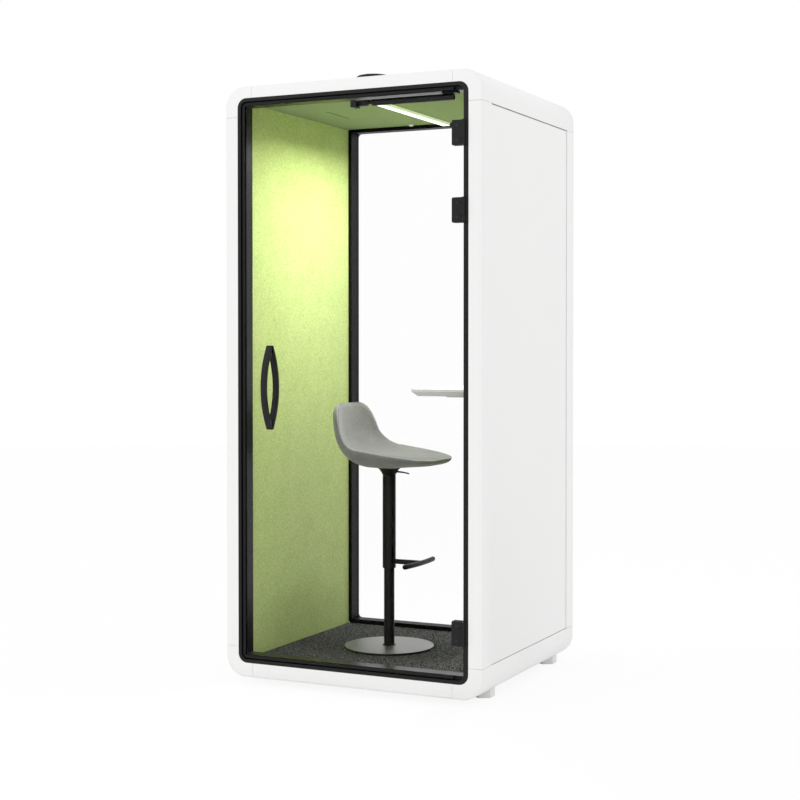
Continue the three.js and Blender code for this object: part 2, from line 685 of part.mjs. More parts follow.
const endBottom = CLOSER_LEVEL - CLOSER_END_HEIGHT / 2;
const endTop = CLOSER_LEVEL + CLOSER_END_HEIGHT / 2;
const endShape = roundedRectangle(CLOSER_END_LEFT, CLOSER_END_RIGHT, endBottom, endTop, CLOSER_END_ROUND);
const closerEnd = carriedBack(
  endShape, CLOSER_Y - CLOSER_END_THICKNESS / 2, CLOSER_Y + CLOSER_END_THICKNESS / 2);
const rodLeft = CLOSER_END_RIGHT - CLOSER_END_ROUND;
const closerRod = rodAlongX(CLOSER_ROD_RADIUS, rodLeft, rodRight, CLOSER_Y, CLOSER_LEVEL);
addPart(pod, 'closer_rod', closerEnd.add(closerRod), 'hardwareBlack');

const glassBack = GLASS_FRONT + GLASS + GAP;
const shelfTop = endBottom - CLOSER_JOINT_CLEARANCE;
const bracketLeft = CLOSER_JOINT_X - DOOR_BRACKET_HALF;
const bracketRight = CLOSER_JOINT_X + DOOR_BRACKET_HALF;
const shelf = box(
  bracketLeft, bracketRight, glassBack, CLOSER_Y + DOOR_BRACKET_OVERHANG,
  shelfTop - DOOR_BRACKET_SHELF, shelfTop);
const glassPlate = box(
  bracketLeft, bracketRight, glassBack, glassBack + DOOR_BRACKET_PLATE,
  shelfTop - DOOR_BRACKET_SHELF, endTop);
const stud = cylinder(
  DOOR_BRACKET_STUD, CLOSER_JOINT_X, CLOSER_Y, shelfTop - DOOR_BRACKET_STUD_DROP, shelfTop);
addPart(pod, 'closer_door_bracket', joined([shelf, glassPlate, stud]), 'hardwareBlack');

// Roof fan under a raised cowl

/** Copies of a geometry set evenly about the upright axis, as solids. */
function setRound(geometry, count) {
  return Array.from({ length: count }, (_, i) => {
    return solidOf(geometry.clone().rotateZ(i * 2 * Math.PI / count));
  });
}

const ductOuter = cylinder(FAN_DUCT_RADIUS - GAP, 0, 0, CEILING, ROOF_PANEL_TOP, LARGE_ROUND);
const ductBore = cylinder(FAN_BORE_RADIUS, 0, 0, CEILING - PAST, ROOF_PANEL_TOP + PAST, LARGE_ROUND);
const spokeLength = FAN_BORE_RADIUS + FAN_SPOKE_LAP;
const spoke = new THREE.BoxGeometry(spokeLength, FAN_SPOKE_WIDTH, FAN_SPOKE_THICKNESS);
spoke.translate(spokeLength / 2, 0, CEILING + FAN_SPOKE_THICKNESS / 2);
const motor = cylinder(FAN_MOTOR_RADIUS, 0, 0, CEILING, CEILING + FAN_MOTOR_HEIGHT, MIDDLE_ROUND);
const axle = cylinder(FAN_AXLE_RADIUS, 0, 0, CEILING, CEILING + FAN_AXLE_HEIGHT);
const housing = joined([ductOuter.subtract(ductBore), ...setRound(spoke, FAN_SPOKES), motor, axle]);

const rotorBottom = CEILING + FAN_MOTOR_HEIGHT + FAN_HUB_GAP;
const rotorTop = rotorBottom + FAN_HUB_HEIGHT;
const hub = cylinder(FAN_HUB_RADIUS, 0, 0, rotorBottom, rotorTop, MIDDLE_ROUND);
const hubBore = cylinder(FAN_AXLE_RADIUS + PIN_CLEARANCE, 0, 0, rotorBottom - PAST, rotorTop + PAST);
const blade = new THREE.BoxGeometry(FAN_BLADE_LENGTH, FAN_BLADE_CHORD, FAN_BLADE_THICKNESS);
blade.rotateX(FAN_BLADE_PITCH);
blade.translate(FAN_BLADE_CENTRE, 0, (rotorBottom + rotorTop) / 2);
const rotor = joined([hub, ...setRound(blade, FAN_BLADES)]).subtract(hubBore);

const cowlTop = HEIGHT + COWL_RISE;
const cowlFoot = ROOF_PANEL_TOP + GAP;
const cowlRim = cowlFoot + COWL_AIR_GAP;
const cowlShoulder = cowlTop - COWL_ROUND;
const roundCentre = COWL_RADIUS - COWL_ROUND;
const dome = turned([
  [0, cowlTop - COWL_WALL],
  ...quarterArc(roundCentre, cowlShoulder, COWL_ROUND - COWL_WALL).reverse(),
  [COWL_RADIUS - COWL_WALL, cowlRim],
  [COWL_RADIUS, cowlRim],
  ...quarterArc(roundCentre, cowlShoulder, COWL_ROUND),
  [0, cowlTop],
], LARGE_ROUND);
const cowlLeg = new THREE.CylinderGeometry(
  COWL_LEG_RADIUS, COWL_LEG_RADIUS, cowlShoulder - cowlFoot, SMALL_ROUND);
cowlLeg.rotateX(Math.PI / 2);
cowlLeg.translate(COWL_RADIUS - COWL_LEG_INSET, 0, (cowlFoot + cowlShoulder) / 2);
const cowl = joined([dome, ...setRound(cowlLeg, COWL_LEGS)]);

const fan = new THREE.Group();
fan.position.set(0, FAN_Y, 0);
addPart(fan, 'fan_housing', housing, 'ventBlack');
addPart(fan, 'fan_rotor', rotor, 'ventBlack');
addPart(fan, 'fan_cowl', cowl, 'ventBlack');
pod.add(fan);

// Ceiling light and presence sensor

const lightFace = CEILING - LIGHT_HEIGHT;
const lightHalf = LIGHT_WIDTH / 2;
const bodyHalf = lightHalf - LIGHT_WALL;
const bodyStart = LIGHT_START + LIGHT_WALL;
const bodyEnd = LIGHT_END - LIGHT_WALL;
const bodyFace = lightFace + LIGHT_FACE;
const lightBody = box(-bodyHalf, bodyHalf, bodyStart, bodyEnd, bodyFace, CEILING - GAP);
const lightRoom = box(
  -bodyHalf - GAP, bodyHalf + GAP, bodyStart - GAP, bodyEnd + GAP, bodyFace - GAP, CEILING + PAST);
const diffuser = box(-lightHalf, lightHalf, LIGHT_START, LIGHT_END, lightFace, CEILING - GAP);
addPart(pod, 'light_body', lightBody, 'lampBody');
addPart(pod, 'light_diffuser', diffuser.subtract(lightRoom), 'lampWhite');

const sensorTop = CEILING - GAP;
const sensor = new THREE.Group();
sensor.position.set(SENSOR_X, SENSOR_Y, 0);
const sensorDome = quarterArc(0, 0, 1).reverse().map(([across, down]) => {
  return [SENSOR_RADIUS * across, sensorTop - SENSOR_RIM - (SENSOR_RISE - SENSOR_RIM) * down];
});
const sensorOutline = [...sensorDome, [SENSOR_RADIUS, sensorTop], [0, sensorTop]];
addPart(sensor, 'presence_sensor', turned(sensorOutline), 'switchWhite');
pod.add(sensor);

// Desk with an under-bevelled edge on its three free sides, and its wall bracket

/** Slab with an upright top edge and a bevel that draws its underside in. */
function deskSlab() {
  const length = FELT_FACE - GAP - DESK_LEFT;
  const span = DESK_END - DESK_START;
  const thickness = DESK_TOP - DESK_UNDERSIDE;
  const geometry = new THREE.BoxGeometry(length, span, thickness, 1, 1, 2);
  const spot = geometry.attributes.position;
  for (let i = 0; i < spot.count; i += 1) {
    if (spot.getZ(i) < -thickness / 4) {
      const drawIn = spot.getX(i) < 0 ? DESK_BEVEL_INSET : 0;
      spot.setX(i, spot.getX(i) + drawIn);
      spot.setY(i, spot.getY(i) - Math.sign(spot.getY(i)) * DESK_BEVEL_INSET);
    } else if (spot.getZ(i) < thickness / 4) {
      spot.setZ(i, thickness / 2 - DESK_EDGE);
    }
  }
  geometry.translate(DESK_LEFT + length / 2, (DESK_START + DESK_END) / 2, DESK_TOP - thickness / 2);
  return solidOf(geometry);
}

addPart(pod, 'desk_top', deskSlab(), 'deskGrey');

const bracketTop = DESK_UNDERSIDE - GAP;
const bracketWall = FELT_FACE - GAP;
const bracketStart = DESK_START + BRACKET_INSET;
const bracketEnd = DESK_END - BRACKET_INSET;
const upright = box(
  bracketWall - BRACKET_PLATE, bracketWall, bracketStart, bracketEnd, bracketTop - BRACKET_DROP, bracketTop);
const ledge = box(
  bracketWall - BRACKET_REACH, bracketWall, bracketStart, bracketEnd, bracketTop - BRACKET_PLATE, bracketTop);
addPart(pod, 'desk_bracket', upright.add(ledge), 'lampBody');

// Light and fan switch over the desk

const plateHalf = SWITCH_SIZE / 2;
const windowHalf = ROCKER_SIZE / 2 + ROCKER_CLEARANCE;
const switchFace = bracketWall - SWITCH_DEPTH;
const switchPlate = box(
  switchFace, bracketWall, SWITCH_Y - plateHalf, SWITCH_Y + plateHalf,
  SWITCH_LEVEL - plateHalf, SWITCH_LEVEL + plateHalf);
const switchWindow = box(
  switchFace - PAST, bracketWall + PAST, SWITCH_Y - windowHalf, SWITCH_Y + windowHalf,
  SWITCH_LEVEL - windowHalf, SWITCH_LEVEL + windowHalf);
const rockerHalf = ROCKER_SIZE / 2;
const rockerFace = switchFace - ROCKER_PROUD;
const rocker = box(
  rockerFace, rockerFace + ROCKER_DEPTH, SWITCH_Y - rockerHalf, SWITCH_Y + rockerHalf,
  SWITCH_LEVEL - rockerHalf, SWITCH_LEVEL + rockerHalf);
addPart(pod, 'switch_plate', switchPlate.subtract(switchWindow), 'switchWhite');
addPart(pod, 'switch_rocker', rocker, 'switchWhite');

// Levelling feet: six-sided pads shaped to the shell's round underside

const liftedShell = envelope.translate([0, 0, -GAP]);
for (const [row, y] of Object.entries(FOOT_ROWS)) {
  for (const [side, sign] of [['left', -1], ['right', 1]]) {
    const pad = cylinder(FOOT_RADIUS, sign * FOOT_X, y, -FOOT_HEIGHT, FOOT_SOCKET, FOOT_SIDES);
    addPart(pod, `foot_${row}_${side}`, pad.subtract(liftedShell), 'switchWhite');
  }
}

// Stool: base with post, gas rod, sleeve with footrest, seat mount, lever and seat

const stool = new THREE.Group();
stool.position.set(STOOL_X, STOOL_Y, 0);

const baseBottom = CARPET_TOP + GAP;
const baseTop = baseBottom + BASE_THICKNESS;
const rimTop = baseTop - BASE_FALL;
const stoolBase = turned([
  [0, baseBottom], [BASE_RADIUS - BASE_EDGE, baseBottom], [BASE_RADIUS, baseBottom + BASE_EDGE],
  [BASE_RADIUS, rimTop - BASE_EDGE], [BASE_RADIUS - BASE_EDGE, rimTop], [POST_RADIUS + WELD_WIDTH, baseTop],
  [POST_RADIUS, baseTop + WELD_RISE], [POST_RADIUS, POST_TOP], [POST_BORE, POST_TOP],
  [POST_BORE, baseTop + POST_FLOOR], [0, baseTop + POST_FLOOR],
], LARGE_ROUND);
addPart(stool, 'stool_base', stoolBase, 'baseMetal');

const rodTop = SLEEVE_TOP - SLEEVE_CAP - GAP;
addPart(stool, 'stool_gas_rod', cylinder(GAS_ROD_RADIUS, 0, 0, GAS_ROD_BOTTOM, rodTop), 'lampBody');

/** Footrest bar across the stool, bowed away from the column. */
function footrestBar() {
  const path = new THREE.QuadraticBezierCurve3(
    new THREE.Vector3(FOOTREST_REACH, -FOOTREST_HALF, FOOTREST_LEVEL),
    new THREE.Vector3(FOOTREST_REACH + 2 * FOOTREST_BOW, 0, FOOTREST_LEVEL),
    new THREE.Vector3(FOOTREST_REACH, FOOTREST_HALF, FOOTREST_LEVEL));
  const section = new THREE.Shape();
  section.absarc(0, 0, FOOTREST_RADIUS, 0, 2 * Math.PI);
  return solidOf(new THREE.ExtrudeGeometry(section, { steps: 14, curveSegments: 6, extrudePath: path }));
}

const sleeveTube = turned([
  [0, SLEEVE_TOP - SLEEVE_CAP], [SLEEVE_BORE, SLEEVE_TOP - SLEEVE_CAP], [SLEEVE_BORE, SLEEVE_BOTTOM],
  [SLEEVE_RADIUS - SLEEVE_LIP, SLEEVE_BOTTOM], [SLEEVE_RADIUS, SLEEVE_BOTTOM + 2 * SLEEVE_LIP],
  [SLEEVE_RADIUS, SLEEVE_TOP], [0, SLEEVE_TOP],
]);
const armRoot = (SLEEVE_BORE + SLEEVE_RADIUS) / 2;
const armEnd = FOOTREST_REACH + FOOTREST_BOW;
const footrestArm = rodAlongX(FOOTREST_RADIUS, armRoot, armEnd, 0, FOOTREST_LEVEL, SMALL_ROUND);
addPart(stool, 'stool_sleeve', joined([sleeveTube, footrestArm, footrestBar()]), 'stoolBlack');

const mountBottom = SLEEVE_TOP + GAP;
const mountTop = SEAT_LEVEL + SEAT_RIM - SEAT_PAN_THICKNESS - GAP;
const mountCone = turned([
  [0, mountBottom], [MOUNT_BOTTOM_RADIUS, mountBottom],
  [MOUNT_BOTTOM_RADIUS + MOUNT_COLLAR_FLARE, mountBottom + MOUNT_COLLAR],
  [MOUNT_TOP_RADIUS - MOUNT_RIM_INSET, mountTop - MOUNT_RIM_FALL],
  [MOUNT_TOP_RADIUS, mountTop - MOUNT_RIM], [MOUNT_TOP_RADIUS, mountTop], [0, mountTop],
]);
const leverHalf = LEVER_WIDTH / 2;
const slotHalf = leverHalf + LEVER_SLOT_SIDE;
const leverSlot = box(
  LEVER_ROOT - LEVER_SLOT_BACK, MOUNT_TOP_RADIUS + PAST, -slotHalf, slotHalf,
  LEVER_LEVEL - LEVER_SLOT_DROP, LEVER_LEVEL + LEVER_SLOT_RISE);
addPart(stool, 'stool_seat_mount', mountCone.subtract(leverSlot), 'stoolBlack');

/** Lift lever: a short bar out of the mount that dips to a flat paddle. */
function liftLever() {
  const half = LEVER_THICKNESS / 2;
  const tipBottom = LEVER_LEVEL - LEVER_DROP - half;
  const shape = new THREE.Shape();
  shape.moveTo(LEVER_ROOT, LEVER_LEVEL - half);
  shape.lineTo(LEVER_BEND, LEVER_LEVEL - half);
  shape.lineTo(LEVER_TIP, tipBottom);
  shape.lineTo(LEVER_TIP, tipBottom + LEVER_TIP_THICKNESS);
  shape.lineTo(LEVER_BEND, LEVER_LEVEL + half);
  shape.lineTo(LEVER_ROOT, LEVER_LEVEL + half);
  return carriedBack(shape, -leverHalf, leverHalf);
}

addPart(stool, 'stool_lever', liftLever(), 'stoolBlack');

/** Eases from 0 to 1. */
function eased(value) {
  const clamped = THREE.MathUtils.clamp(value, 0, 1);
  return clamped * clamped * (3 - 2 * clamped);
}

/** Seat shell lofted along its spine: pan, bend and back, with raised sides and a crowned underside. */
function seatGeometry() {
  const bend = SEAT_BEND_RADIUS * SEAT_BEND_ANGLE;
  const length = SEAT_PAN + bend + SEAT_BACK;
  const spine = (distance) => {
    const turn = THREE.MathUtils.clamp((distance - SEAT_PAN) / SEAT_BEND_RADIUS, 0, SEAT_BEND_ANGLE);
    const flat = Math.min(distance, SEAT_PAN);
    const rise = Math.max(distance - SEAT_PAN - bend, 0);
    const forward = SEAT_FRONT - flat - SEAT_BEND_RADIUS * Math.sin(turn) - rise * Math.cos(turn);
    const up = SEAT_RIM + SEAT_BEND_RADIUS * (1 - Math.cos(turn)) + rise * Math.sin(turn);
    return { turn, forward, up };
  };
  const positions = [];
  const around = 2 * SEAT_COLUMNS;
  for (let i = 0; i <= SEAT_STATIONS; i += 1) {
    const share = (1 - Math.cos(Math.PI * i / SEAT_STATIONS)) / 2;
    const { turn, forward, up } = spine(share * length);
    const blend = eased((share * length - SEAT_PAN) / bend);
    const toEnd = Math.abs(2 * share - 1);
    const rounding = share < 0.5 ? SEAT_FRONT_ROUNDING : SEAT_BACK_ROUNDING;
    const taper = (1 - toEnd ** rounding) ** (1 / rounding);
    const half = taper * THREE.MathUtils.lerp(SEAT_PAN_HALF, SEAT_BACK_HALF, blend);
    const panShare = THREE.MathUtils.clamp(share * length / SEAT_PAN, 0, 1) ** SEAT_LIFT_GROWTH;
    const panLift = THREE.MathUtils.lerp(SEAT_LIFT_FRONT, SEAT_LIFT_REAR, panShare);
    const lift = THREE.MathUtils.lerp(panLift, SEAT_WRAP, blend);
    const depth = THREE.MathUtils.lerp(SEAT_PAN_THICKNESS, SEAT_BACK_THICKNESS, blend);
    const thickness = Math.sqrt(taper) * depth;
    for (let j = 0; j < around; j += 1) {
      const across = -Math.cos(2 * Math.PI * j / around);
      const rim = Math.abs(across);
      const raised = lift * taper * rim ** SEAT_SIDE_CURVE;
      const belly = thickness * (1 - rim ** SEAT_BELLY_EDGE) ** (1 / SEAT_BELLY_ROUNDING);
      const offset = raised - (j > SEAT_COLUMNS ? belly : 0);
      positions.push(
        forward + Math.sin(turn) * offset, half * across, SEAT_LEVEL + up + Math.cos(turn) * offset);
    }
  }
  const index = [];
  for (let i = 0; i < SEAT_STATIONS; i += 1) {
    for (let j = 0; j < around; j += 1) {
      const a = i * around + j;
      const b = i * around + (j + 1) % around;
      index.push(a, a + around, b, b, a + around, b + around);
    }
  }
  const geometry = new THREE.BufferGeometry();
  geometry.setAttribute('position', new THREE.BufferAttribute(new Float32Array(positions), 3));
  geometry.setIndex(index);
  return geometry;
}

addPart(stool, 'stool_seat', solidOf(seatGeometry()), 'seatFabric');
pod.add(stool);

const officePod = new THREE.Group();
officePod.add(pod);

export default officePod;
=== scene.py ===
"""Looks of a single-person acoustic office pod: finishes, smooth rounds, upholstery, trim and stage."""

import math

import bpy
import numpy as np
from bpy.props import FloatProperty, FloatVectorProperty, IntProperty, PointerProperty
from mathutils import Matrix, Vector
from mathutils.kdtree import KDTree


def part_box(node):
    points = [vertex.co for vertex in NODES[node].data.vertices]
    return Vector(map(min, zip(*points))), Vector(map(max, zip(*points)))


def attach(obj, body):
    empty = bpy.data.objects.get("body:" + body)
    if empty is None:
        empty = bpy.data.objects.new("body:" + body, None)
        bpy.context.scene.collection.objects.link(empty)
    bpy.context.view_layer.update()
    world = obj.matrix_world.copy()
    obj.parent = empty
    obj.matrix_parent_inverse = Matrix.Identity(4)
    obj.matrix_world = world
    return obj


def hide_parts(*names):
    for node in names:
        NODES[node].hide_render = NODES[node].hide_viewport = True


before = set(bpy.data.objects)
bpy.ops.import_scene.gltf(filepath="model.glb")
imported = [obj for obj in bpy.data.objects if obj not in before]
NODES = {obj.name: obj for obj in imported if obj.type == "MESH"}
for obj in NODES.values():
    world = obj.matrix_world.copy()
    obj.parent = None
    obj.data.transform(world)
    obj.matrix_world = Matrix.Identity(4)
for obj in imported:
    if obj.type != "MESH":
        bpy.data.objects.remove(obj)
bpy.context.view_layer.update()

bl_info = {
    "name": "Acoustic office pod",
    "version": (1, 0, 0),
    "blender": (4, 5, 0),
    "location": "View3D > Sidebar > Pod",
    "description": "Dresses a single-person acoustic office pod and sets it in a pale studio",
    "category": "Object",
}

MM = 0.001

# Bodies that the pieces ride on
SHELL, DOOR = "shell", "door"
STOOL_LIFT, STOOL_SWIVEL, STOOL_LEVER = "stool_lift", "stool_swivel", "lever"

# Places of the door's hinges
HINGES = ("upper", "middle", "lower")

# Name of the point values that mark the seat's ridge, where a highlight is painted into the cloth's colour
RIDGE_HIGHLIGHT = "ridge"


def span(node):
    """Low corner, high corner and middle of a solid, as arrays in metres."""
    low, high = (np.array(corner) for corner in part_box(node))
    return low, high, (low + high) / 2


# Settings that a user would change


def colour(name, description, default):
    """A colour property in linear red, green and blue."""
    return FloatVectorProperty(
        name=name, description=description, default=default, subtype="COLOR", size=3, min=0.0, max=1.0)


def length(name, description, default):
    """A length property in metres."""
    return FloatProperty(name=name, description=description, default=default, unit="LENGTH", min=0.0)


class PodColours(bpy.types.PropertyGroup):
    """Colours of the pod's finishes."""

    shell: colour("Shell", "Coated white of the profiles and panels", (0.86, 0.86, 0.855))
    felt: colour("Felt", "Green of the wall felt", (0.3, 0.42, 0.08))
    felt_pale: colour("Felt fleck", "Pale fibres in the felt", (0.52, 0.6, 0.2))
    overhead: colour("Ceiling felt", "Deeper green of the ceiling felt", (0.11, 0.17, 0.02))
    carpet: colour("Carpet", "Dark loops of the carpet", (0.007, 0.007, 0.007))
    carpet_pale: colour("Carpet fleck", "Pale loops of the carpet", (0.2, 0.2, 0.2))
    black: colour("Black metal", "Coated black of the frames and fittings", (0.007, 0.007, 0.0075))
    seal: colour("Seal", "Black rubber of the door's edge", (0.008, 0.008, 0.008))
    desk: colour("Desk", "Pale laminate of the desk", (0.66, 0.66, 0.65))
    seat: colour("Seat", "Grey thread of the upholstery", (0.104, 0.104, 0.102))
    seat_pale: colour("Seat fleck", "Pale thread of the upholstery", (0.218, 0.218, 0.214))
    steel: colour("Brushed steel", "Brushed top of the stool's disc", (0.3, 0.3, 0.3))
    plastic: colour("White plastic", "Feet, switch and sensor", (0.8, 0.8, 0.79))
    board: colour("Board", "Birch board of the floor deck", (0.42, 0.31, 0.19))
    core: colour("Core", "Grey wool of the acoustic cores", (0.22, 0.225, 0.22))
    screw: colour("Screw", "Dark steel of the hinge screws", (0.05, 0.05, 0.052))
    lamp_body: colour("Lamp body", "Drawn metal of the ceiling light's body", (0.6, 0.61, 0.62))
    bracket: colour("Desk bracket", "Drawn metal of the desk's bracket", (0.5, 0.5, 0.51))
    rod: colour("Gas rod", "Bright steel of the stool's gas rod", (0.62, 0.63, 0.64))


class PodSizes(bpy.types.PropertyGroup):
    """Sizes of the added detail."""

    edge_round: length("Edge round", "Round on the edges of the rigid pieces", 0.8 * MM)
    round_angle: FloatProperty(
        name="Round angle", description="Edges flatter than this are shaded smooth",
        default=math.radians(32), subtype="ANGLE")
    seat_inset: length(
        "Seat inset", "How far inside its lofted form the seat starts before it swells", 2.5 * MM)
    seat_swell: length("Seat swell", "The most that a point of the seat may swell", 4 * MM)
    seat_voxel: length("Seat voxel", "Grid of the remeshed seat", 5 * MM)
    seat_pressure: FloatProperty(
        name="Seat pressure", description="Pressure that fills the seat", default=4.0)
    seat_frames: IntProperty(name="Seat frames", description="Steps of the seat's simulation", default=20)
    screw_radius: length("Screw radius", "Radius of the fittings' screw heads", 4.5 * MM)


class PodStudio(bpy.types.PropertyGroup):
    """Camera and light of the pale studio."""

    camera_place: FloatVectorProperty(
        name="Camera place", description="Where the camera stands", default=(2.66858, -5.51944, 1.31336),
        subtype="TRANSLATION", unit="LENGTH")
    camera_tilt: FloatProperty(
        name="Camera tilt", description="Camera turn about its x axis", default=math.radians(88.995),
        subtype="ANGLE")
    camera_turn: FloatProperty(
        name="Camera turn", description="Camera turn about the upright axis", default=math.radians(25.52),
        subtype="ANGLE")
    camera_lens: FloatProperty(name="Lens", description="Focal length in millimetres", default=69.21)
    shift_x: FloatProperty(name="Shift X", description="Framing of the picture, sideways", default=-0.0140)
    shift_y: FloatProperty(name="Shift Y", description="Framing of the picture, upwards", default=-0.0379)
    sky: FloatProperty(name="Sky", description="Strength of the even light all round", default=1.02)
    key_power: FloatProperty(
        name="Key", description="Power of the large soft lamp", default=22.0, unit="POWER")
    strip_power: FloatProperty(
        name="Strip", description="Power that the ceiling strip throws down", default=17.0, unit="POWER")


def pod_settings():
    """The scene's settings for the pod."""
    scene = bpy.context.scene
    return scene.pod_colours, scene.pod_sizes, scene.pod_studio


# Materials


class Socket:
    """A value in a material. Sums, products and powers, and a number less a socket, add Math nodes."""

    def __init__(self, finish, link):
        self.finish = finish
        self.link = link

    def _math(self, operation, first, second):
        return self.finish.add("ShaderNodeMath", {"operation": operation}, {0: first, 1: second})

    def __add__(self, other):
        return self._math("ADD", self, other)

    def __rsub__(self, other):
        return self._math("SUBTRACT", other, self)

    def __mul__(self, other):
        return self._math("MULTIPLY", self, other)

    def __pow__(self, other):
        return self._math("POWER", self, other)

    __radd__ = __add__
    __rmul__ = __mul__


class Finish:
    """A material and the one method that adds nodes to it."""

    def __init__(self, name):
        self.material = bpy.data.materials.new(name)
        self.material.use_nodes = True
        self.tree = self.material.node_tree
        self.tree.nodes.clear()
        self.place = self.add("ShaderNodeTexCoord", out="Object")

    def add(self, kind, settings=None, sockets=None, out=0):
        """Adds a node: its settings first, then the values or links of its sockets. Gives one output."""
        node = self.tree.nodes.new(kind)
        for name, value in (settings or {}).items():
            setattr(node, name, value)
        for key, value in (sockets or {}).items():
            if isinstance(value, Socket):
                self.tree.links.new(value.link, node.inputs[key])
            else:
                node.inputs[key].default_value = value
        return Socket(self, node.outputs[out]) if node.outputs else None

    def noise(self, scale, detail=2.0, vector=None):
        """Noise from 0 to 1, with the given number of features a metre."""
        sockets = {"Vector": vector or self.place, "Scale": scale, "Detail": detail}
        return self.add("ShaderNodeTexNoise", None, sockets, out="Fac")

    def steps(self, value, low, high):
        """Value eased from 0 at low to 1 at high."""
        settings = {"interpolation_type": "SMOOTHSTEP"}
        return self.add("ShaderNodeMapRange", settings, {"Value": value, "From Min": low, "From Max": high})

    def mix(self, factor, first, second):
        """Colour between two colours."""
        sockets = {0: factor, 6: opaque(first), 7: opaque(second)}
        return self.add("ShaderNodeMix", {"data_type": "RGBA"}, sockets, out=2)

    def bump(self, height, distance, strength=1.0):
        """Normal pushed about by a height, in metres at full height."""
        sockets = {"Height": height, "Distance": distance, "Strength": strength}
        return self.add("ShaderNodeBump", None, sockets)

    def stretched(self, x, y, z):
        """Object coordinates multiplied along each axis."""
        return self.add("ShaderNodeMapping", None, {"Vector": self.place, "Scale": (x, y, z)})

    def surface(self, sockets):
        """Ends the material in a Principled shader with these sockets, and gives the material."""
        shader = self.add("ShaderNodeBsdfPrincipled", None, sockets)
        self.add("ShaderNodeOutputMaterial", None, {"Surface": shader})
        return self.material


def opaque(value):
    """Three numbers as a colour, and a socket as it is."""
    return value if isinstance(value, Socket) else (*value[:3], 1.0)


def shaded(value, factor):
    """Colour made lighter or darker by a factor."""
    return tuple(min(1.0, part * factor) for part in value)


def coated_finish(name, base, roughness, peel):
    """Coated metal or board: faint clouds, uneven gloss and the peel of sprayed paint."""
    finish = Finish(name)
    cloud = finish.noise(2.5, 3.0)
    grain = finish.noise(650.0, 2.0)
    gloss = finish.noise(18.0, 4.0)
    return finish.surface({
        "Base Color": finish.mix(cloud, shaded(base, 0.985), shaded(base, 1.015)),
        "Roughness": roughness - 0.05 + 0.1 * gloss,
        "Normal": finish.bump(grain, peel, 0.35),
    })


def felt_finish(name, base, fleck):
    """Pressed wool felt: pale and dark fibres that cross, over slow clouds of colour."""
    finish = Finish(name)
    cloud = finish.noise(12.0, 4.0)
    tufts = finish.noise(85.0, 3.0)
    flecks = finish.noise(210.0, 3.0)
    across = finish.noise(150.0, 4.0, finish.stretched(1.0, 2.5, 1.0))
    along = finish.noise(150.0, 4.0, finish.stretched(1.0, 1.0, 2.5))
    fibres = 0.5 * across + 0.5 * along
    pale = finish.steps(0.55 * flecks + 0.1 * tufts + 0.25 * fibres + 0.1 * cloud, 0.37, 0.63)
    return finish.surface({
        "Base Color": finish.mix(pale, base, fleck),
        "Roughness": 0.9 + 0.08 * flecks,
        "Normal": finish.bump(fibres + flecks, 0.6 * MM, 0.7),
        "Sheen Weight": 0.25,
        "Sheen Roughness": 0.6,
    })


def carpet_finish(name, base, fleck):
    """Loop-pile carpet: small round loops, each a little lighter or darker than the next."""
    finish = Finish(name)
    wander = finish.noise(60.0, 2.0)
    loops = finish.add(
        "ShaderNodeTexVoronoi", {"feature": "F1"}, {"Vector": finish.place, "Scale": 210.0},
        out="Distance")
    flecks = finish.noise(170.0, 4.0)
    pale = finish.steps(0.85 * flecks + 0.15 * wander, 0.5, 0.58)
    return finish.surface({
        "Base Color": finish.mix(pale, base, fleck),
        "Roughness": 0.95 - 0.05 * flecks,
        "Normal": finish.bump(1 - loops, 2 * MM, 0.9),
        "Sheen Weight": 0.03,
        "Specular IOR Level": 0.2,
    })


def black_finish(name, base, roughness, shine=0.22):
    """Fine-textured black coat: a sandy bump, with gloss that wanders."""
    finish = Finish(name)
    sand = finish.noise(900.0, 2.0)
    wander = finish.noise(9.0, 4.0)
    return finish.surface({
        "Base Color": finish.mix(wander, shaded(base, 0.8), shaded(base, 1.4)),
        "Roughness": roughness - 0.07 + 0.14 * wander,
        "Specular IOR Level": shine,
        "Normal": finish.bump(sand, 0.15 * MM, 0.4),
    })


def glass_finish(name):
    """Clear pane: see-through face on, with a green-grey sheen that rises towards a grazing view."""
    finish = Finish(name)
    graze = finish.add("ShaderNodeLayerWeight", None, {"Blend": 0.5}, out="Facing")
    wipes = finish.noise(5.0, 5.0, finish.stretched(1.0, 1.0, 0.35))
    clean = (0.02, 0.035, 0.03)
    wiped = (0.03, 0.05, 0.045)
    return finish.surface({
        "Base Color": finish.mix(wipes, clean, wiped),
        "Roughness": 0.015 + 0.02 * wipes,
        "Alpha": 0.004 + 0.5 * graze ** 4.0,
        "IOR": 1.5,
    })


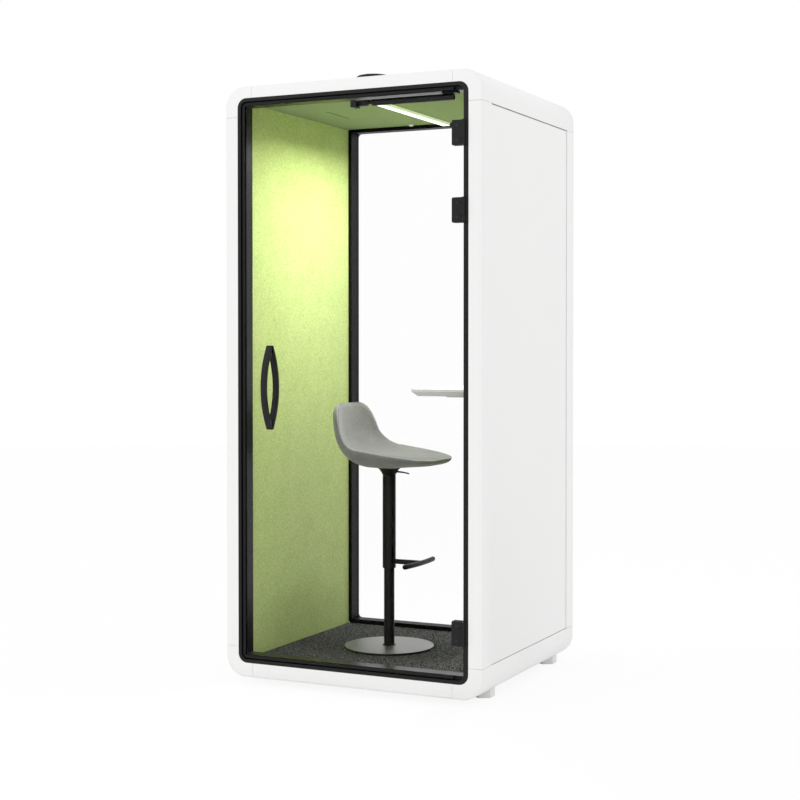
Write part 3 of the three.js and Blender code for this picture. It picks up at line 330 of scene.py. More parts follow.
def fabric_finish(name, base, fleck):
    """Wool upholstery: a plain weave of thick yarns in mixed greys, with a painted highlight along its
    ridge.
    """
    finish = Finish(name)
    yarn = finish.noise(300.0, 2.0)
    melange = finish.noise(1100.0, 2.0)
    cloud = finish.noise(14.0, 3.0)
    bands = {"wave_type": "BANDS", "wave_profile": "SIN", "bands_direction": "DIAGONAL"}
    threads = {"Scale": 190.0, "Distortion": 2.0}
    one_way = finish.stretched(1.0, -1.0, 1.0)
    other_way = finish.stretched(1.0, 1.0, -1.0)
    warp = finish.add("ShaderNodeTexWave", bands, {"Vector": one_way, **threads}, out="Fac")
    weft = finish.add("ShaderNodeTexWave", bands, {"Vector": other_way, **threads}, out="Fac")
    weave = warp * weft
    pale = finish.steps(0.7 * yarn + 0.15 * melange + 0.15 * cloud, 0.38, 0.62)
    # Painted highlight: near the seat's edge the cloth's colour is mixed towards a paler copy of its fleck
    ridge = finish.add("ShaderNodeAttribute", {"attribute_name": RIDGE_HIGHLIGHT}, None, out="Fac")
    cloth = finish.mix(pale, base, fleck)
    return finish.surface({
        "Base Color": finish.mix(0.6 * ridge, cloth, shaded(fleck, 1.9)),
        "Roughness": 0.86 + 0.1 * weave,
        "Normal": finish.bump(weave + 0.5 * yarn, 0.5 * MM, 0.55),
        "Sheen Weight": 0.35,
        "Sheen Roughness": 0.5,
    })


def laminate_finish(name, base):
    """Pale laminate: a dry, even surface with a fine pearl texture."""
    finish = Finish(name)
    pearl = finish.noise(480.0, 3.0)
    cloud = finish.noise(5.0, 2.0)
    return finish.surface({
        "Base Color": finish.mix(cloud, shaded(base, 0.96), shaded(base, 1.04)),
        "Roughness": 0.42 + 0.12 * pearl,
        "Normal": finish.bump(pearl, 0.1 * MM, 0.5),
    })


def turned_steel_finish(name, base, edge, middle, rim_radius):
    """Disc with turned rings: fine circles of gloss about its middle, and a dark rim that is hardly
    metallic.
    """
    finish = Finish(name)
    rim_width = 0.8 * MM
    level_only = (1.0, 1.0, 0.0)
    axis = (middle[0], middle[1], 0.0)
    centred = finish.add("ShaderNodeVectorMath", {"operation": "SUBTRACT"}, {0: finish.place, 1: axis})
    flat = finish.add("ShaderNodeVectorMath", {"operation": "MULTIPLY"}, {0: centred, 1: level_only})
    radius = finish.add("ShaderNodeVectorMath", {"operation": "LENGTH"}, {0: flat}, out="Value")
    rings = finish.add(
        "ShaderNodeTexNoise", {"noise_dimensions": "1D"}, {"W": radius, "Scale": 1400.0, "Detail": 3.0},
        out="Fac")
    smudge = finish.noise(11.0, 4.0)
    rim = finish.steps(radius, rim_radius - rim_width, rim_radius)
    top = finish.mix(rings, shaded(base, 0.85), shaded(base, 1.15))
    return finish.surface({
        "Base Color": finish.mix(rim, top, edge),
        "Metallic": 0.85 - 0.8 * rim,
        "Roughness": 0.34 + 0.12 * smudge + 0.1 * rings,
        "Normal": finish.bump(rings, 0.06 * MM, 0.6),
    })


def lamp_finish(name):
    """Lit diffuser: its face glows an even white, and its sides glow faintly."""
    finish = Finish(name)
    streak = finish.noise(40.0, 2.0, finish.stretched(1.0, 0.05, 1.0))
    normal = finish.add("ShaderNodeNewGeometry", out="Normal")
    facing = finish.add("ShaderNodeSeparateXYZ", None, {0: normal}, out="Z")
    down = finish.steps(0.0 - facing, 0.4, 0.8)
    warm = (1.0, 1.0, 0.99)
    cool = (0.96, 0.985, 0.97)
    dim = (0.17, 0.2, 0.12)
    unlit = (0.85, 0.86, 0.85)
    glow = finish.mix(down, dim, finish.mix(streak, warm, cool))
    return finish.surface({
        "Base Color": opaque(unlit),
        "Roughness": 0.45 + 0.1 * streak,
        "Emission Color": glow,
        "Emission Strength": 1.6,
    })


def board_finish(name, base):
    """Birch board: long grain with darker late wood."""
    finish = Finish(name)
    grain = finish.noise(9.0, 6.0, finish.stretched(9.0, 0.6, 9.0))
    late = finish.steps(grain, 0.35, 0.7)
    return finish.surface({
        "Base Color": finish.mix(late, shaded(base, 0.75), shaded(base, 1.15)),
        "Roughness": 0.55 + 0.2 * grain,
        "Normal": finish.bump(grain, 0.3 * MM, 0.5),
    })


def metal_finish(name, base, roughness):
    """Drawn metal: fine lines along its length."""
    finish = Finish(name)
    lines = finish.noise(40.0, 3.0, finish.stretched(30.0, 1.0, 30.0))
    return finish.surface({
        "Base Color": finish.mix(lines, shaded(base, 0.9), shaded(base, 1.1)),
        "Metallic": 0.9,
        "Roughness": roughness + 0.12 * lines,
        "Normal": finish.bump(lines, 0.05 * MM, 0.4),
    })


# Meshes

# Points of a solid that are nearer to each other than this become one
WELD_DISTANCE = 0.02 * MM

# Points of a grid that agree to this many decimals of a metre become one
MERGE_DECIMALS = 7

# Least length that is divided by
TINY = 1e-9


def smooth_rounds(angle):
    """Node group that welds loose triangles and keeps only edges sharper than the angle hard."""
    name = "smooth_rounds"
    if name in bpy.data.node_groups:
        return bpy.data.node_groups[name]
    group = bpy.data.node_groups.new(name, "GeometryNodeTree")
    group.interface.new_socket("Geometry", in_out="INPUT", socket_type="NodeSocketGeometry")
    group.interface.new_socket("Geometry", in_out="OUTPUT", socket_type="NodeSocketGeometry")
    start = group.nodes.new("NodeGroupInput")
    bare = group.nodes.new("GeometryNodeRemoveAttribute")
    bare.inputs["Name"].default_value = "custom_normal"
    weld = group.nodes.new("GeometryNodeMergeByDistance")
    weld.inputs["Distance"].default_value = WELD_DISTANCE
    soft = group.nodes.new("GeometryNodeSetShadeSmooth")
    hard = group.nodes.new("GeometryNodeSetShadeSmooth")
    hard.domain = "EDGE"
    hard.inputs["Shade Smooth"].default_value = False
    fold = group.nodes.new("GeometryNodeInputMeshEdgeAngle")
    sharp = group.nodes.new("FunctionNodeCompare")
    sharp.data_type = "FLOAT"
    sharp.operation = "GREATER_THAN"
    sharp.inputs["B"].default_value = angle
    end = group.nodes.new("NodeGroupOutput")
    chain = [start, bare, weld, soft, hard, end]
    for before, after in zip(chain, chain[1:]):
        group.links.new(before.outputs[0], after.inputs[0])
    group.links.new(fold.outputs["Unsigned Angle"], sharp.inputs["A"])
    group.links.new(sharp.outputs[0], hard.inputs["Selection"])
    return group


def soften(piece, edge_round):
    """Smooth rounds and softly rounded edges for a rigid piece."""
    sizes = bpy.context.scene.pod_sizes
    rounds = piece.modifiers.new("smooth rounds", "NODES")
    rounds.node_group = smooth_rounds(sizes.round_angle)
    if edge_round > 0:
        bevel = piece.modifiers.new("soft edges", "BEVEL")
        bevel.width = edge_round
        bevel.segments = 2
        bevel.limit_method = "ANGLE"
        bevel.angle_limit = sizes.round_angle
        bevel.use_clamp_overlap = True
        bevel.harden_normals = True


def dress(names, material, edge_round=None):
    """Gives solids that stay as they are a finish and soft edges."""
    width = bpy.context.scene.pod_sizes.edge_round if edge_round is None else edge_round
    for name in names:
        piece = NODES[name]
        piece.data.materials.clear()
        piece.data.materials.append(material)
        soften(piece, width)


def mesh_of_grid(name, grid):
    """Mesh of quads over a grid of points (rows by columns by xyz) whose columns close on themselves.

    Points that fall together are merged.
    """
    rows, columns = grid.shape[:2]
    index = np.arange(rows * columns).reshape(rows, columns)
    index = np.hstack([index, index[:, :1]])
    corners = np.stack([index[:-1, :-1], index[:-1, 1:], index[1:, 1:], index[1:, :-1]], axis=-1)
    points, place = np.unique(np.round(grid.reshape(-1, 3), MERGE_DECIMALS), axis=0, return_inverse=True)
    faces = place.ravel()[corners.reshape(-1, 4)]
    kept = [list(dict.fromkeys(face)) for face in faces.tolist()]
    mesh = bpy.data.meshes.new(name)
    mesh.from_pydata(points.tolist(), [], [face for face in kept if len(face) > 2])
    mesh.validate()
    mesh.update()
    return mesh


def placed(name, mesh, material, body, replaced=()):
    """Object for a mesh, shaded smooth, that rides on a body and stands for the named solids."""
    mesh.materials.append(material)
    mesh.shade_smooth()
    piece = bpy.data.objects.new(name, mesh)
    bpy.context.scene.collection.objects.link(piece)
    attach(piece, body)
    if replaced:
        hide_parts(*replaced)
    return piece


def rounded_outline(corners, radius, steps=4):
    """Outline with its inner corners rounded.

    Each corner is replaced by the curve (1-t)^2 a + 2t(1-t) c + t^2 b between points a and b that lie
    the radius, or just under half the shorter side, before and after the corner c.
    """
    corners = np.asarray(corners, float)
    before, here, after = corners[:-2], corners[1:-1], corners[2:]
    back, ahead = before - here, after - here
    back_length = np.linalg.norm(back, axis=1, keepdims=True)
    ahead_length = np.linalg.norm(ahead, axis=1, keepdims=True)
    reach = np.minimum(radius, 0.49 * np.minimum(back_length, ahead_length))
    a = here + back / back_length * reach
    b = here + ahead / ahead_length * reach
    t = np.linspace(0, 1, steps + 1)[None, :, None]
    curve = (1 - t) ** 2 * a[:, None] + 2 * t * (1 - t) * here[:, None] + t ** 2 * b[:, None]
    return np.vstack([corners[:1], curve.reshape(-1, 2), corners[-1:]])


def turned_mesh(name, outline, middle, sides=96):
    """Outline of (radius, height) pairs turned about an upright axis: (m + r cos u, m + r sin u, h)."""
    outline = np.asarray(outline, float)
    u = np.linspace(0, 2 * np.pi, sides, endpoint=False)
    radius, height = outline[:, :1], outline[:, 1:]
    grid = np.stack([
        middle[0] + radius * np.cos(u), middle[1] + radius * np.sin(u), height + 0 * u], axis=-1)
    return mesh_of_grid(name, grid)


def frames_along(path):
    """Tangent and two cross directions of a path that doesn't run straight up.

    The first cross direction, to the side, is the cross product of the tangent and the upright axis, made
    one long. The second, upwards, is the cross product of the first and the tangent.
    """
    step = np.gradient(path, axis=0)
    tangent = step / np.linalg.norm(step, axis=1, keepdims=True)
    side = np.cross(tangent, [0.0, 0.0, 1.0])
    side /= np.linalg.norm(side, axis=1, keepdims=True)
    return tangent, side, np.cross(side, tangent)


def tube_mesh(name, path, radius, sides=20, dome_rings=5):
    """Round tube with domed ends: each path point p gives a ring p + r (cos u side + sin u up).

    A domed end adds rings whose radius shrinks as a quarter circle while they move on along the tangent.
    """
    path = np.asarray(path, float)
    tangent, side, up = frames_along(path)
    radii = np.broadcast_to(np.asarray(radius, float), len(path))
    bow = np.linspace(0, np.pi / 2, dome_rings + 1)[1:]
    head = path[0] - tangent[0] * radii[0] * np.sin(bow[::-1])[:, None]
    tail = path[-1] + tangent[-1] * radii[-1] * np.sin(bow)[:, None]
    path = np.vstack([head, path, tail])
    radii = np.concatenate([radii[0] * np.cos(bow[::-1]), radii, radii[-1] * np.cos(bow)])
    side = np.vstack([np.repeat(side[:1], dome_rings, 0), side, np.repeat(side[-1:], dome_rings, 0)])
    up = np.vstack([np.repeat(up[:1], dome_rings, 0), up, np.repeat(up[-1:], dome_rings, 0)])
    u = np.linspace(0, 2 * np.pi, sides, endpoint=False)[None, :, None]
    ring = np.cos(u) * side[:, None] + np.sin(u) * up[:, None]
    grid = path[:, None] + radii[:, None, None] * ring
    return mesh_of_grid(name, grid)


# Operators, one for each group of like pieces


class PodOperator(bpy.types.Operator):
    """Base of the pod's operators: runs its own make method with the scene's settings."""

    bl_options = {"REGISTER", "UNDO"}

    def execute(self, context):
        self.make(*pod_settings())
        return {"FINISHED"}


class POD_OT_shell(PodOperator):
    """Coat the white profiles, posts, rails and panels"""

    bl_idname = "pod.shell"
    bl_label = "White shell"

    def make(self, colours, sizes, studio):
        white = coated_finish("coated_white", colours.shell, roughness=0.36, peel=0.12 * MM)
        sides, levels, rows = ("left", "right"), ("top", "bottom"), ("front", "rear")
        members = [f"corner_profile_{level}_{side}" for level in levels for side in sides]
        members += [f"{row}_{side}_post" for row in rows for side in sides]
        members += [f"{row}_{level}_rail" for row in rows for level in levels]
        members += ["left_side_panel", "right_side_panel", "roof_panel"]
        dress(members, white)


class POD_OT_linings(PodOperator):
    """Finish the felt, the carpet, the acoustic cores and the floor deck"""

    bl_idname = "pod.linings"
    bl_label = "Linings"

    def make(self, colours, sizes, studio):
        felt = felt_finish("green_felt", colours.felt, colours.felt_pale)
        dress(["left_felt_wall", "right_felt_wall"], felt)
        overhead = felt_finish("ceiling_felt", colours.overhead, shaded(colours.overhead, 1.6))
        dress(["ceiling_felt"], overhead)
        dress(["carpet"], carpet_finish("loop_carpet", colours.carpet, colours.carpet_pale))
        core = felt_finish("core_wool", colours.core, shaded(colours.core, 1.5))
        dress(["left_acoustic_core", "right_acoustic_core", "roof_acoustic_core"], core)
        dress(["floor_deck"], board_finish("birch_board", colours.board))


class POD_OT_frames(PodOperator):
    """Finish the door frame, the rear window frame, the panes and the door's edge seal"""

    bl_idname = "pod.frames"
    bl_label = "Frames and glass"

    def make(self, colours, sizes, studio):
        dress(["door_frame"], black_finish("frame_black", colours.black, roughness=0.3))
        # Painted shade: the rear window frame gets a darker copy of the door frame's black
        shadow = shaded(colours.black, 0.5)
        rear = black_finish("rear_frame_black", shadow, roughness=0.45, shine=0.1)
        dress(["rear_window_frame"], rear)
        dress(["door_edge_seal"], black_finish("seal_rubber", colours.seal, roughness=0.55))
        dress(["door_glass", "rear_glass"], glass_finish("clear_glass"), edge_round=0.0)


class POD_OT_fittings(PodOperator):
    """Finish the hinges, handles and closer, and set the screws of the hinges' clamps"""

    bl_idname = "pod.fittings"
    bl_label = "Door fittings"

    EDGE_SHARE = 1.5
    PLATE_DEPTH = 6 * MM
    SCREW_SIDES = 24
    SCREW_EDGE = 0.4 * MM
    SCREW_SINK = 1 * MM
    SCREW_RISE = 0.8 * MM
    SCREW_RECESS = 0.5
    SCREW_INSET = 20 * MM
    SCREW_SPREAD = 26 * MM

    def make(self, colours, sizes, studio):
        black = black_finish("fitting_black", shaded(colours.black, 1.5), roughness=0.46)
        hinges = [f"{place}_hinge_{half}" for place in HINGES for half in ("leaf", "clamp")]
        dress(hinges, black, self.EDGE_SHARE * sizes.edge_round)
        dress(["outer_pull_handle", "inner_pull_handle"], black)
        dress(["closer_frame_bracket", "closer_tube", "closer_rod", "closer_door_bracket"], black)
        steel = metal_finish("screw_steel", colours.screw, roughness=0.3)
        for place in HINGES:
            self.make_screws(place, steel, sizes.screw_radius)

    def make_screws(self, place, steel, radius):
        """Four low screw heads, two on each face of a hinge's clamp, each with a recess in its middle."""
        low, _, middle = span(f"{place}_hinge_clamp")
        recess = self.SCREW_RECESS * radius
        bottom = -self.SCREW_SINK / 2
        profile = rounded_outline(
            [(radius, -self.SCREW_SINK), (radius, self.SCREW_RISE), (recess, self.SCREW_RISE),
             (recess, bottom), (0, bottom)],
            self.SCREW_EDGE)
        u = np.linspace(0, 2 * np.pi, self.SCREW_SIDES, endpoint=False)
        ring, out = profile[:, :1], profile[:, 1:]
        glass_low, glass_high, _ = span("door_glass")
        depth = self.PLATE_DEPTH
        for face, sign, y in (("outer", -1, glass_low[1] - depth), ("inner", 1, glass_high[1] + depth)):
            for level, step in (("low", -1), ("high", 1)):
                centre = (low[0] + self.SCREW_INSET, middle[2] + step * self.SCREW_SPREAD)
                grid = np.stack([
                    centre[0] + ring * np.cos(u), y + sign * (out + 0 * u),
                    centre[1] + sign * ring * np.sin(u)], axis=-1)
                name = f"{place}_hinge_screw_{face}_{level}"
                placed(name, mesh_of_grid(name, grid), steel, DOOR)


class POD_OT_fan(PodOperator):
    """Finish the roof fan and its cowl"""

    bl_idname = "pod.fan"
    bl_label = "Roof fan"

    def make(self, colours, sizes, studio):
        black = black_finish("fan_black", colours.black, roughness=0.5)
        dress(["fan_housing", "fan_rotor", "fan_cowl"], black)


class POD_OT_light(PodOperator):
    """Light the ceiling strip, and finish its body, the sensor and the switch"""

    bl_idname = "pod.light"
    bl_label = "Light, sensor and switch"

    def make(self, colours, sizes, studio):
        dress(["light_diffuser"], lamp_finish("lit_diffuser"))
        dress(["light_body"], metal_finish("drawn_metal", colours.lamp_body, roughness=0.3))
        plastic = coated_finish("white_plastic", colours.plastic, roughness=0.3, peel=0.05 * MM)
        dress(["presence_sensor", "switch_plate", "switch_rocker"], plastic)


class POD_OT_desk(PodOperator):
    """Finish the desk and its bracket"""

    bl_idname = "pod.desk"
    bl_label = "Desk"

    EDGE_ROUND = 1.2 * MM

    def make(self, colours, sizes, studio):
        dress(["desk_top"], laminate_finish("pale_laminate", colours.desk), self.EDGE_ROUND)
        dress(["desk_bracket"], metal_finish("bracket_metal", colours.bracket, roughness=0.4))


class POD_OT_feet(PodOperator):
    """Finish the levelling feet"""

    bl_idname = "pod.feet"
    bl_label = "Levelling feet"

    EDGE_ROUND = 1.5 * MM

    def make(self, colours, sizes, studio):
        plastic = coated_finish("foot_plastic", colours.plastic, roughness=0.42, peel=0.1 * MM)
        feet = [f"foot_{row}_{side}" for row in ("front", "rear") for side in ("left", "right")]
        dress(feet, plastic, self.EDGE_ROUND)


class POD_OT_stool_column(PodOperator):
    """Turn the stool's disc, post, sleeve and mount, and bend its footrest and lever"""

    bl_idname = "pod.stool_column"
    bl_label = "Stool column"

    DISC_THICKNESS = 9.5 * MM
    DISC_EDGE = 1.6 * MM
    DISC_FALL = 1.0 * MM
    DISC_SIDES = 160
    POST_RADIUS = 21 * MM
    POST_BORE = 18 * MM
    POST_EDGE = 0.8 * MM
    WELD_WIDTH = 8 * MM
    WELD_RISE = 5 * MM
    SLEEVE_RADIUS = 26.5 * MM
    SLEEVE_BORE = 21.6 * MM
    SLEEVE_CAP = 5 * MM
    SLEEVE_EDGE = 1.5 * MM
    SLEEVE_LOWER = 6 * MM
    FOOTREST_RADIUS = 10 * MM
    FOOTREST_RISE = 21 * MM
    FOOTREST_BOW = 9 * MM
    FOOTREST_DRAWN_IN = 9 * MM
    BAR_POINTS = 33
    ARM_POINTS = 12
    LEVER_ROOT = 4.5 * MM
    LEVER_TIP = 2.6 * MM
    LEVER_FALL = 6 * MM
    LEVER_POINTS = 20
    MOUNT_FOOT = 27 * MM
    MOUNT_FLARE = 3 * MM
    MOUNT_SKIRT = 8 * MM
    MOUNT_OVERHANG = 6 * MM
    MOUNT_NECK = 9 * MM
    MOUNT_BRIM = 4 * MM
    MOUNT_ROUND = 4 * MM

    def make(self, colours, sizes, studio):
        black = black_finish("stool_black", shaded(colours.black, 1.25), roughness=0.4, shine=0.16)
        low, high, middle = span("stool_base")
        reach = (high[0] - low[0]) / 2
        self.make_base(colours, black, low[2], high[2], middle, reach)
        self.make_sleeve(black, middle)
        self.make_mount(black, middle)
        self.make_lever(black)
        rod = metal_finish("rod_steel", colours.rod, roughness=0.15)
        dress(["stool_gas_rod"], rod, edge_round=0.0)

    def make_base(self, colours, black, floor, top, middle, reach):
        """Disc with a soft rim that falls a little outwards, and the post that stands on it."""
        disc_top = floor + self.DISC_THICKNESS
        rim = disc_top - self.DISC_FALL
        disc = rounded_outline(
            [(0, floor), (reach, floor), (reach, rim), (self.POST_RADIUS, disc_top), (0, disc_top)],
            self.DISC_EDGE)
        steel = turned_steel_finish("turned_steel", colours.steel, shaded(colours.black, 1.5), middle, reach)
        disc_mesh = turned_mesh("stool_disc", disc, middle, self.DISC_SIDES)
        placed("stool_disc", disc_mesh, steel, SHELL, ["stool_base"])
        weld = disc_top - self.DISC_FALL / 2
        weld_top = weld + self.WELD_RISE
        post = rounded_outline(
            [(0, weld), (self.POST_RADIUS + self.WELD_WIDTH, weld), (self.POST_RADIUS, weld_top),
             (self.POST_RADIUS, top), (self.POST_BORE, top), (self.POST_BORE, weld_top), (0, weld_top)],
            self.POST_EDGE)
        placed("stool_post", turned_mesh("stool_post", post, middle), black, SHELL)

    def make_sleeve(self, black, middle):
        """Sleeve open at its hem and capped at its top, and the footrest: an arm and a bowed bar.

        At share t from the middle to an end, the bar lies bow times t squared nearer to the column.
        """
        low, high, _ = span("stool_sleeve")
        cap = high[2]
        ceiling = cap - self.SLEEVE_CAP
        hem = low[2] - self.SLEEVE_LOWER
        foot_level = low[2] + self.FOOTREST_RISE
        sleeve = rounded_outline(
            [(0, ceiling), (self.SLEEVE_BORE, ceiling), (self.SLEEVE_BORE, hem),
             (self.SLEEVE_RADIUS, hem), (self.SLEEVE_RADIUS, cap), (0, cap)],
            self.SLEEVE_EDGE)
        tube = turned_mesh("stool_sleeve_tube", sleeve, middle)
        placed("stool_sleeve_tube", tube, black, STOOL_LIFT, ["stool_sleeve"])
        crown = high[0] - self.FOOTREST_RADIUS - self.FOOTREST_DRAWN_IN
        half = (high[1] - low[1]) / 2 - self.FOOTREST_RADIUS
        t = np.linspace(-1, 1, self.BAR_POINTS)
        bar = np.stack([
            crown - self.FOOTREST_BOW * t ** 2, middle[1] + half * t, np.full_like(t, foot_level)], axis=-1)
        bar_mesh = tube_mesh("footrest_bar", bar, self.FOOTREST_RADIUS)
        placed("footrest_bar", bar_mesh, black, STOOL_LIFT)
        s = np.linspace(middle[0] + self.SLEEVE_BORE + self.FOOTREST_RADIUS, crown, self.ARM_POINTS)
        arm = np.stack([s, np.full_like(s, middle[1]), np.full_like(s, foot_level)], axis=-1)
        arm_mesh = tube_mesh("footrest_arm", arm, self.FOOTREST_RADIUS)
        placed("footrest_arm", arm_mesh, black, STOOL_LIFT)

    def make_lever(self, black):
        """Lever: a thick root that thins along a line falling gently to its tip.

        At share t of its length the line is the start plus t times the reach, less fall times t squared,
        and the radius goes from root to tip as the square root of t.
        """
        low, high, middle = span("stool_lever")
        t = np.linspace(0, 1, self.LEVER_POINTS)
        path = np.stack([
            low[0] + self.LEVER_ROOT + (high[0] - low[0] - 2 * self.LEVER_ROOT) * t,
            np.full_like(t, middle[1]), high[2] - self.LEVER_ROOT - self.LEVER_FALL * t ** 2], axis=-1)
        radius = self.LEVER_ROOT + (self.LEVER_TIP - self.LEVER_ROOT) * np.sqrt(t)
        mesh = tube_mesh("lift_lever", path, radius)
        placed("lift_lever", mesh, black, STOOL_LEVER, ["stool_lever"])

    def make_mount(self, black, middle):
        """Flared mount between the sleeve and the seat."""
        low, high, _ = span("stool_seat_mount")
        top_radius = (high[1] - low[1]) / 2
        outline = rounded_outline(
            [(0, low[2]), (self.MOUNT_FOOT, low[2]),
             (self.MOUNT_FOOT + self.MOUNT_FLARE, low[2] + self.MOUNT_SKIRT),
             (top_radius - self.MOUNT_OVERHANG, high[2] - self.MOUNT_NECK),
             (top_radius, high[2] - self.MOUNT_BRIM), (top_radius, high[2]), (0, high[2])],
            self.MOUNT_ROUND)
        mesh = turned_mesh("seat_mount", outline, middle)
        placed("seat_mount", mesh, black, STOOL_SWIVEL, ["stool_seat_mount"])


class POD_OT_stool_seat(PodOperator):
    """Upholster the stool's seat: a lofted pad that is filled by simulation, with a painted highlight along
    its ridge
    """

    bl_idname = "pod.stool_seat"
    bl_label = "Stool seat"

    # Form of the seat along its spine, from its front over the pan and the bend to the top of its back
    FRONT = 244 * MM
    RIM = 59 * MM
    PAN = 281 * MM
    BEND_RADIUS = 130 * MM
    BEND_ANGLE = math.radians(77)
    BACK = 111 * MM
    PAN_HALF = 214 * MM
    BACK_HALF = 182 * MM
    FRONT_ROUNDING = 3.2
    BACK_ROUNDING = 3.76
    LIFT_REAR = 27 * MM
    WRAP = 32 * MM
    LIFT_GROWTH = 1.5
    SIDE_CURVE = 2.5
    BELLY_EDGE = 3.0
    BELLY_ROUNDING = 2.2
    PAN_THICKNESS = 55 * MM
    BACK_THICKNESS = 44 * MM
    NOSE = 200 * MM
    NOSE_DROOP = 12 * MM
    NOSE_THICKNESS = 0.6
    EVEN_SHARE = 0.4
    RIDGE_HIGHLIGHT_WIDTH = 11 * MM
    EDGE_STEPS = 4
    STATIONS = 72
    COLUMNS = 40
    FILL = 0.9
    SMOOTH_SHARE = 0.5
    SMOOTH_TIMES = 6

    def make(self, colours, sizes, studio):
        axis = span("stool_base")[2]
        level = span("stool_seat_mount")[1][2] + self.PAN_THICKNESS - self.RIM
        fabric = fabric_finish("wool_upholstery", colours.seat, colours.seat_pale)
        grid = self.loft(axis, level)
        mesh = mesh_of_grid("stool_seat_pad", grid)
        seat = placed("stool_seat_pad", mesh, fabric, STOOL_SWIVEL, ["stool_seat"])
        self.fill(seat, sizes)
        self.mark_ridge_highlight(seat.data, grid[:, [0, self.COLUMNS]])

    def mark_ridge_highlight(self, mesh, edges):
        """Stores a value on each point: exp(-(d / width)^2), where d is its distance to the edge; it sets
        how strong the painted ridge highlight is.
        """
        place = np.empty(len(mesh.vertices) * 3)
        mesh.vertices.foreach_get("co", place)
        share = np.linspace(0, 1, self.EDGE_STEPS, endpoint=False)[:, None, None, None]
        line = ((1 - share) * edges[:-1] + share * edges[1:]).reshape(-1, 3)
        tree = KDTree(len(line))
        for i, point in enumerate(line):
            tree.insert(point, i)
        tree.balance()
        gap = np.array([tree.find(point)[2] for point in place.reshape(-1, 3)])
        marks = mesh.attributes.new(RIDGE_HIGHLIGHT, "FLOAT", "POINT")
        marks.data.foreach_set("value", np.exp(-(gap / self.RIDGE_HIGHLIGHT_WIDTH) ** 2))

    def loft(self, axis, level):
        """Seat as rows along its spine and columns round its section.

        The spine runs back along the pan, round a bend and up the back. At each station the section is
        half * (-cos v) across, raised at its sides by lift * |across|^curve, and its underside hangs
        below by thickness * (1 - |across|^edge)^(1/rounding). The ends taper as a superellipse. Towards
        the front, nose goes from 0 to 1, and there the seat sinks by droop * nose^2 and grows thinner.
        """
        bend = self.BEND_RADIUS * self.BEND_ANGLE
        whole = self.PAN + bend + self.BACK
        even = np.linspace(0, 1, self.STATIONS + 1)
        share = self.EVEN_SHARE * even + (1 - self.EVEN_SHARE) * (1 - np.cos(np.pi * even)) / 2
        s = share * whole
        turn = np.clip((s - self.PAN) / self.BEND_RADIUS, 0, self.BEND_ANGLE)
        rise = np.maximum(s - self.PAN - bend, 0)
        along_pan = np.minimum(s, self.PAN)
        forward = self.FRONT - along_pan - self.BEND_RADIUS * np.sin(turn) - rise * np.cos(turn)
        nose = np.clip(1 - s / self.NOSE, 0, 1)
        spine = self.RIM + self.BEND_RADIUS * (1 - np.cos(turn)) + rise * np.sin(turn)
        up = spine - self.NOSE_DROOP * nose ** 2
        eased = np.clip((s - self.PAN) / bend, 0, 1)
        blend = eased ** 2 * (3 - 2 * eased)
        rounding = np.where(share < 0.5, self.FRONT_ROUNDING, self.BACK_ROUNDING)
        taper = (1 - np.abs(2 * share - 1) ** rounding) ** (1 / rounding)
        half = taper * (self.PAN_HALF + (self.BACK_HALF - self.PAN_HALF) * blend)
        pan_lift = self.LIFT_REAR * np.clip(s / self.PAN, 0, 1) ** self.LIFT_GROWTH
        lift = pan_lift + (self.WRAP - pan_lift) * blend
        depth = self.PAN_THICKNESS + (self.BACK_THICKNESS - self.PAN_THICKNESS) * blend
        thickness = np.sqrt(taper) * depth * (1 - (1 - self.NOSE_THICKNESS) * nose)
        around = 2 * self.COLUMNS
        v = 2 * np.pi * np.arange(around) / around
        across = -np.cos(v)
        side = np.abs(across)
        belly = (1 - side ** self.BELLY_EDGE) ** (1 / self.BELLY_ROUNDING)
        under = np.where(np.arange(around) > self.COLUMNS, belly, 0.0)
        offset = (lift * taper)[:, None] * side ** self.SIDE_CURVE - thickness[:, None] * under
        x = axis[0] + forward[:, None] + np.sin(turn)[:, None] * offset
        y = axis[1] + half[:, None] * across
        z = level + up[:, None] + np.cos(turn)[:, None] * offset
        return np.stack([x, y, z], axis=-1)

    def fill(self, seat, sizes):
        """Remeshes the seat evenly, lets pressure fill it, and keeps each point near where it began."""
        mesh = seat.data
        for other in bpy.context.selected_objects:
            other.select_set(False)
        bpy.context.view_layer.objects.active = seat
        seat.select_set(True)
        mesh.remesh_voxel_size = sizes.seat_voxel
        mesh.remesh_voxel_adaptivity = 0.0
        bpy.ops.object.voxel_remesh()
        mesh = seat.data
        count = len(mesh.vertices)
        start = np.empty(count * 3)
        normal = np.empty(count * 3)
        mesh.vertices.foreach_get("co", start)
        mesh.vertices.foreach_get("normal", normal)
        start -= sizes.seat_inset * normal
        mesh.vertices.foreach_set("co", start)
        mesh.update()
        cloth = seat.modifiers.new("fill", "CLOTH")
        cloth.settings.use_pressure = True
        cloth.settings.uniform_pressure_force = sizes.seat_pressure
        cloth.settings.effector_weights.gravity = 0.0
        scene = bpy.context.scene
        for step in range(1, sizes.seat_frames + 1):
            scene.frame_set(step)
        filled = seat.evaluated_get(bpy.context.evaluated_depsgraph_get()).to_mesh()
        end = np.empty(count * 3)
        filled.vertices.foreach_get("co", end)
        seat.modifiers.remove(cloth)
        scene.frame_set(1)
        move = (end - start).reshape(-1, 3)
        move -= move.mean(axis=0)
        far = np.linalg.norm(move, axis=1, keepdims=True)
        move *= np.minimum(1.0, sizes.seat_swell / np.maximum(far, TINY))
        mesh.vertices.foreach_set("co", start + move.ravel())
        mesh.update()
        mesh.shade_smooth()
        smooth = seat.modifiers.new("even out", "SMOOTH")
        smooth.factor = self.SMOOTH_SHARE
        smooth.iterations = self.SMOOTH_TIMES
        finer = seat.modifiers.new("finer", "SUBSURF")
        finer.levels = 1
        finer.render_levels = 1


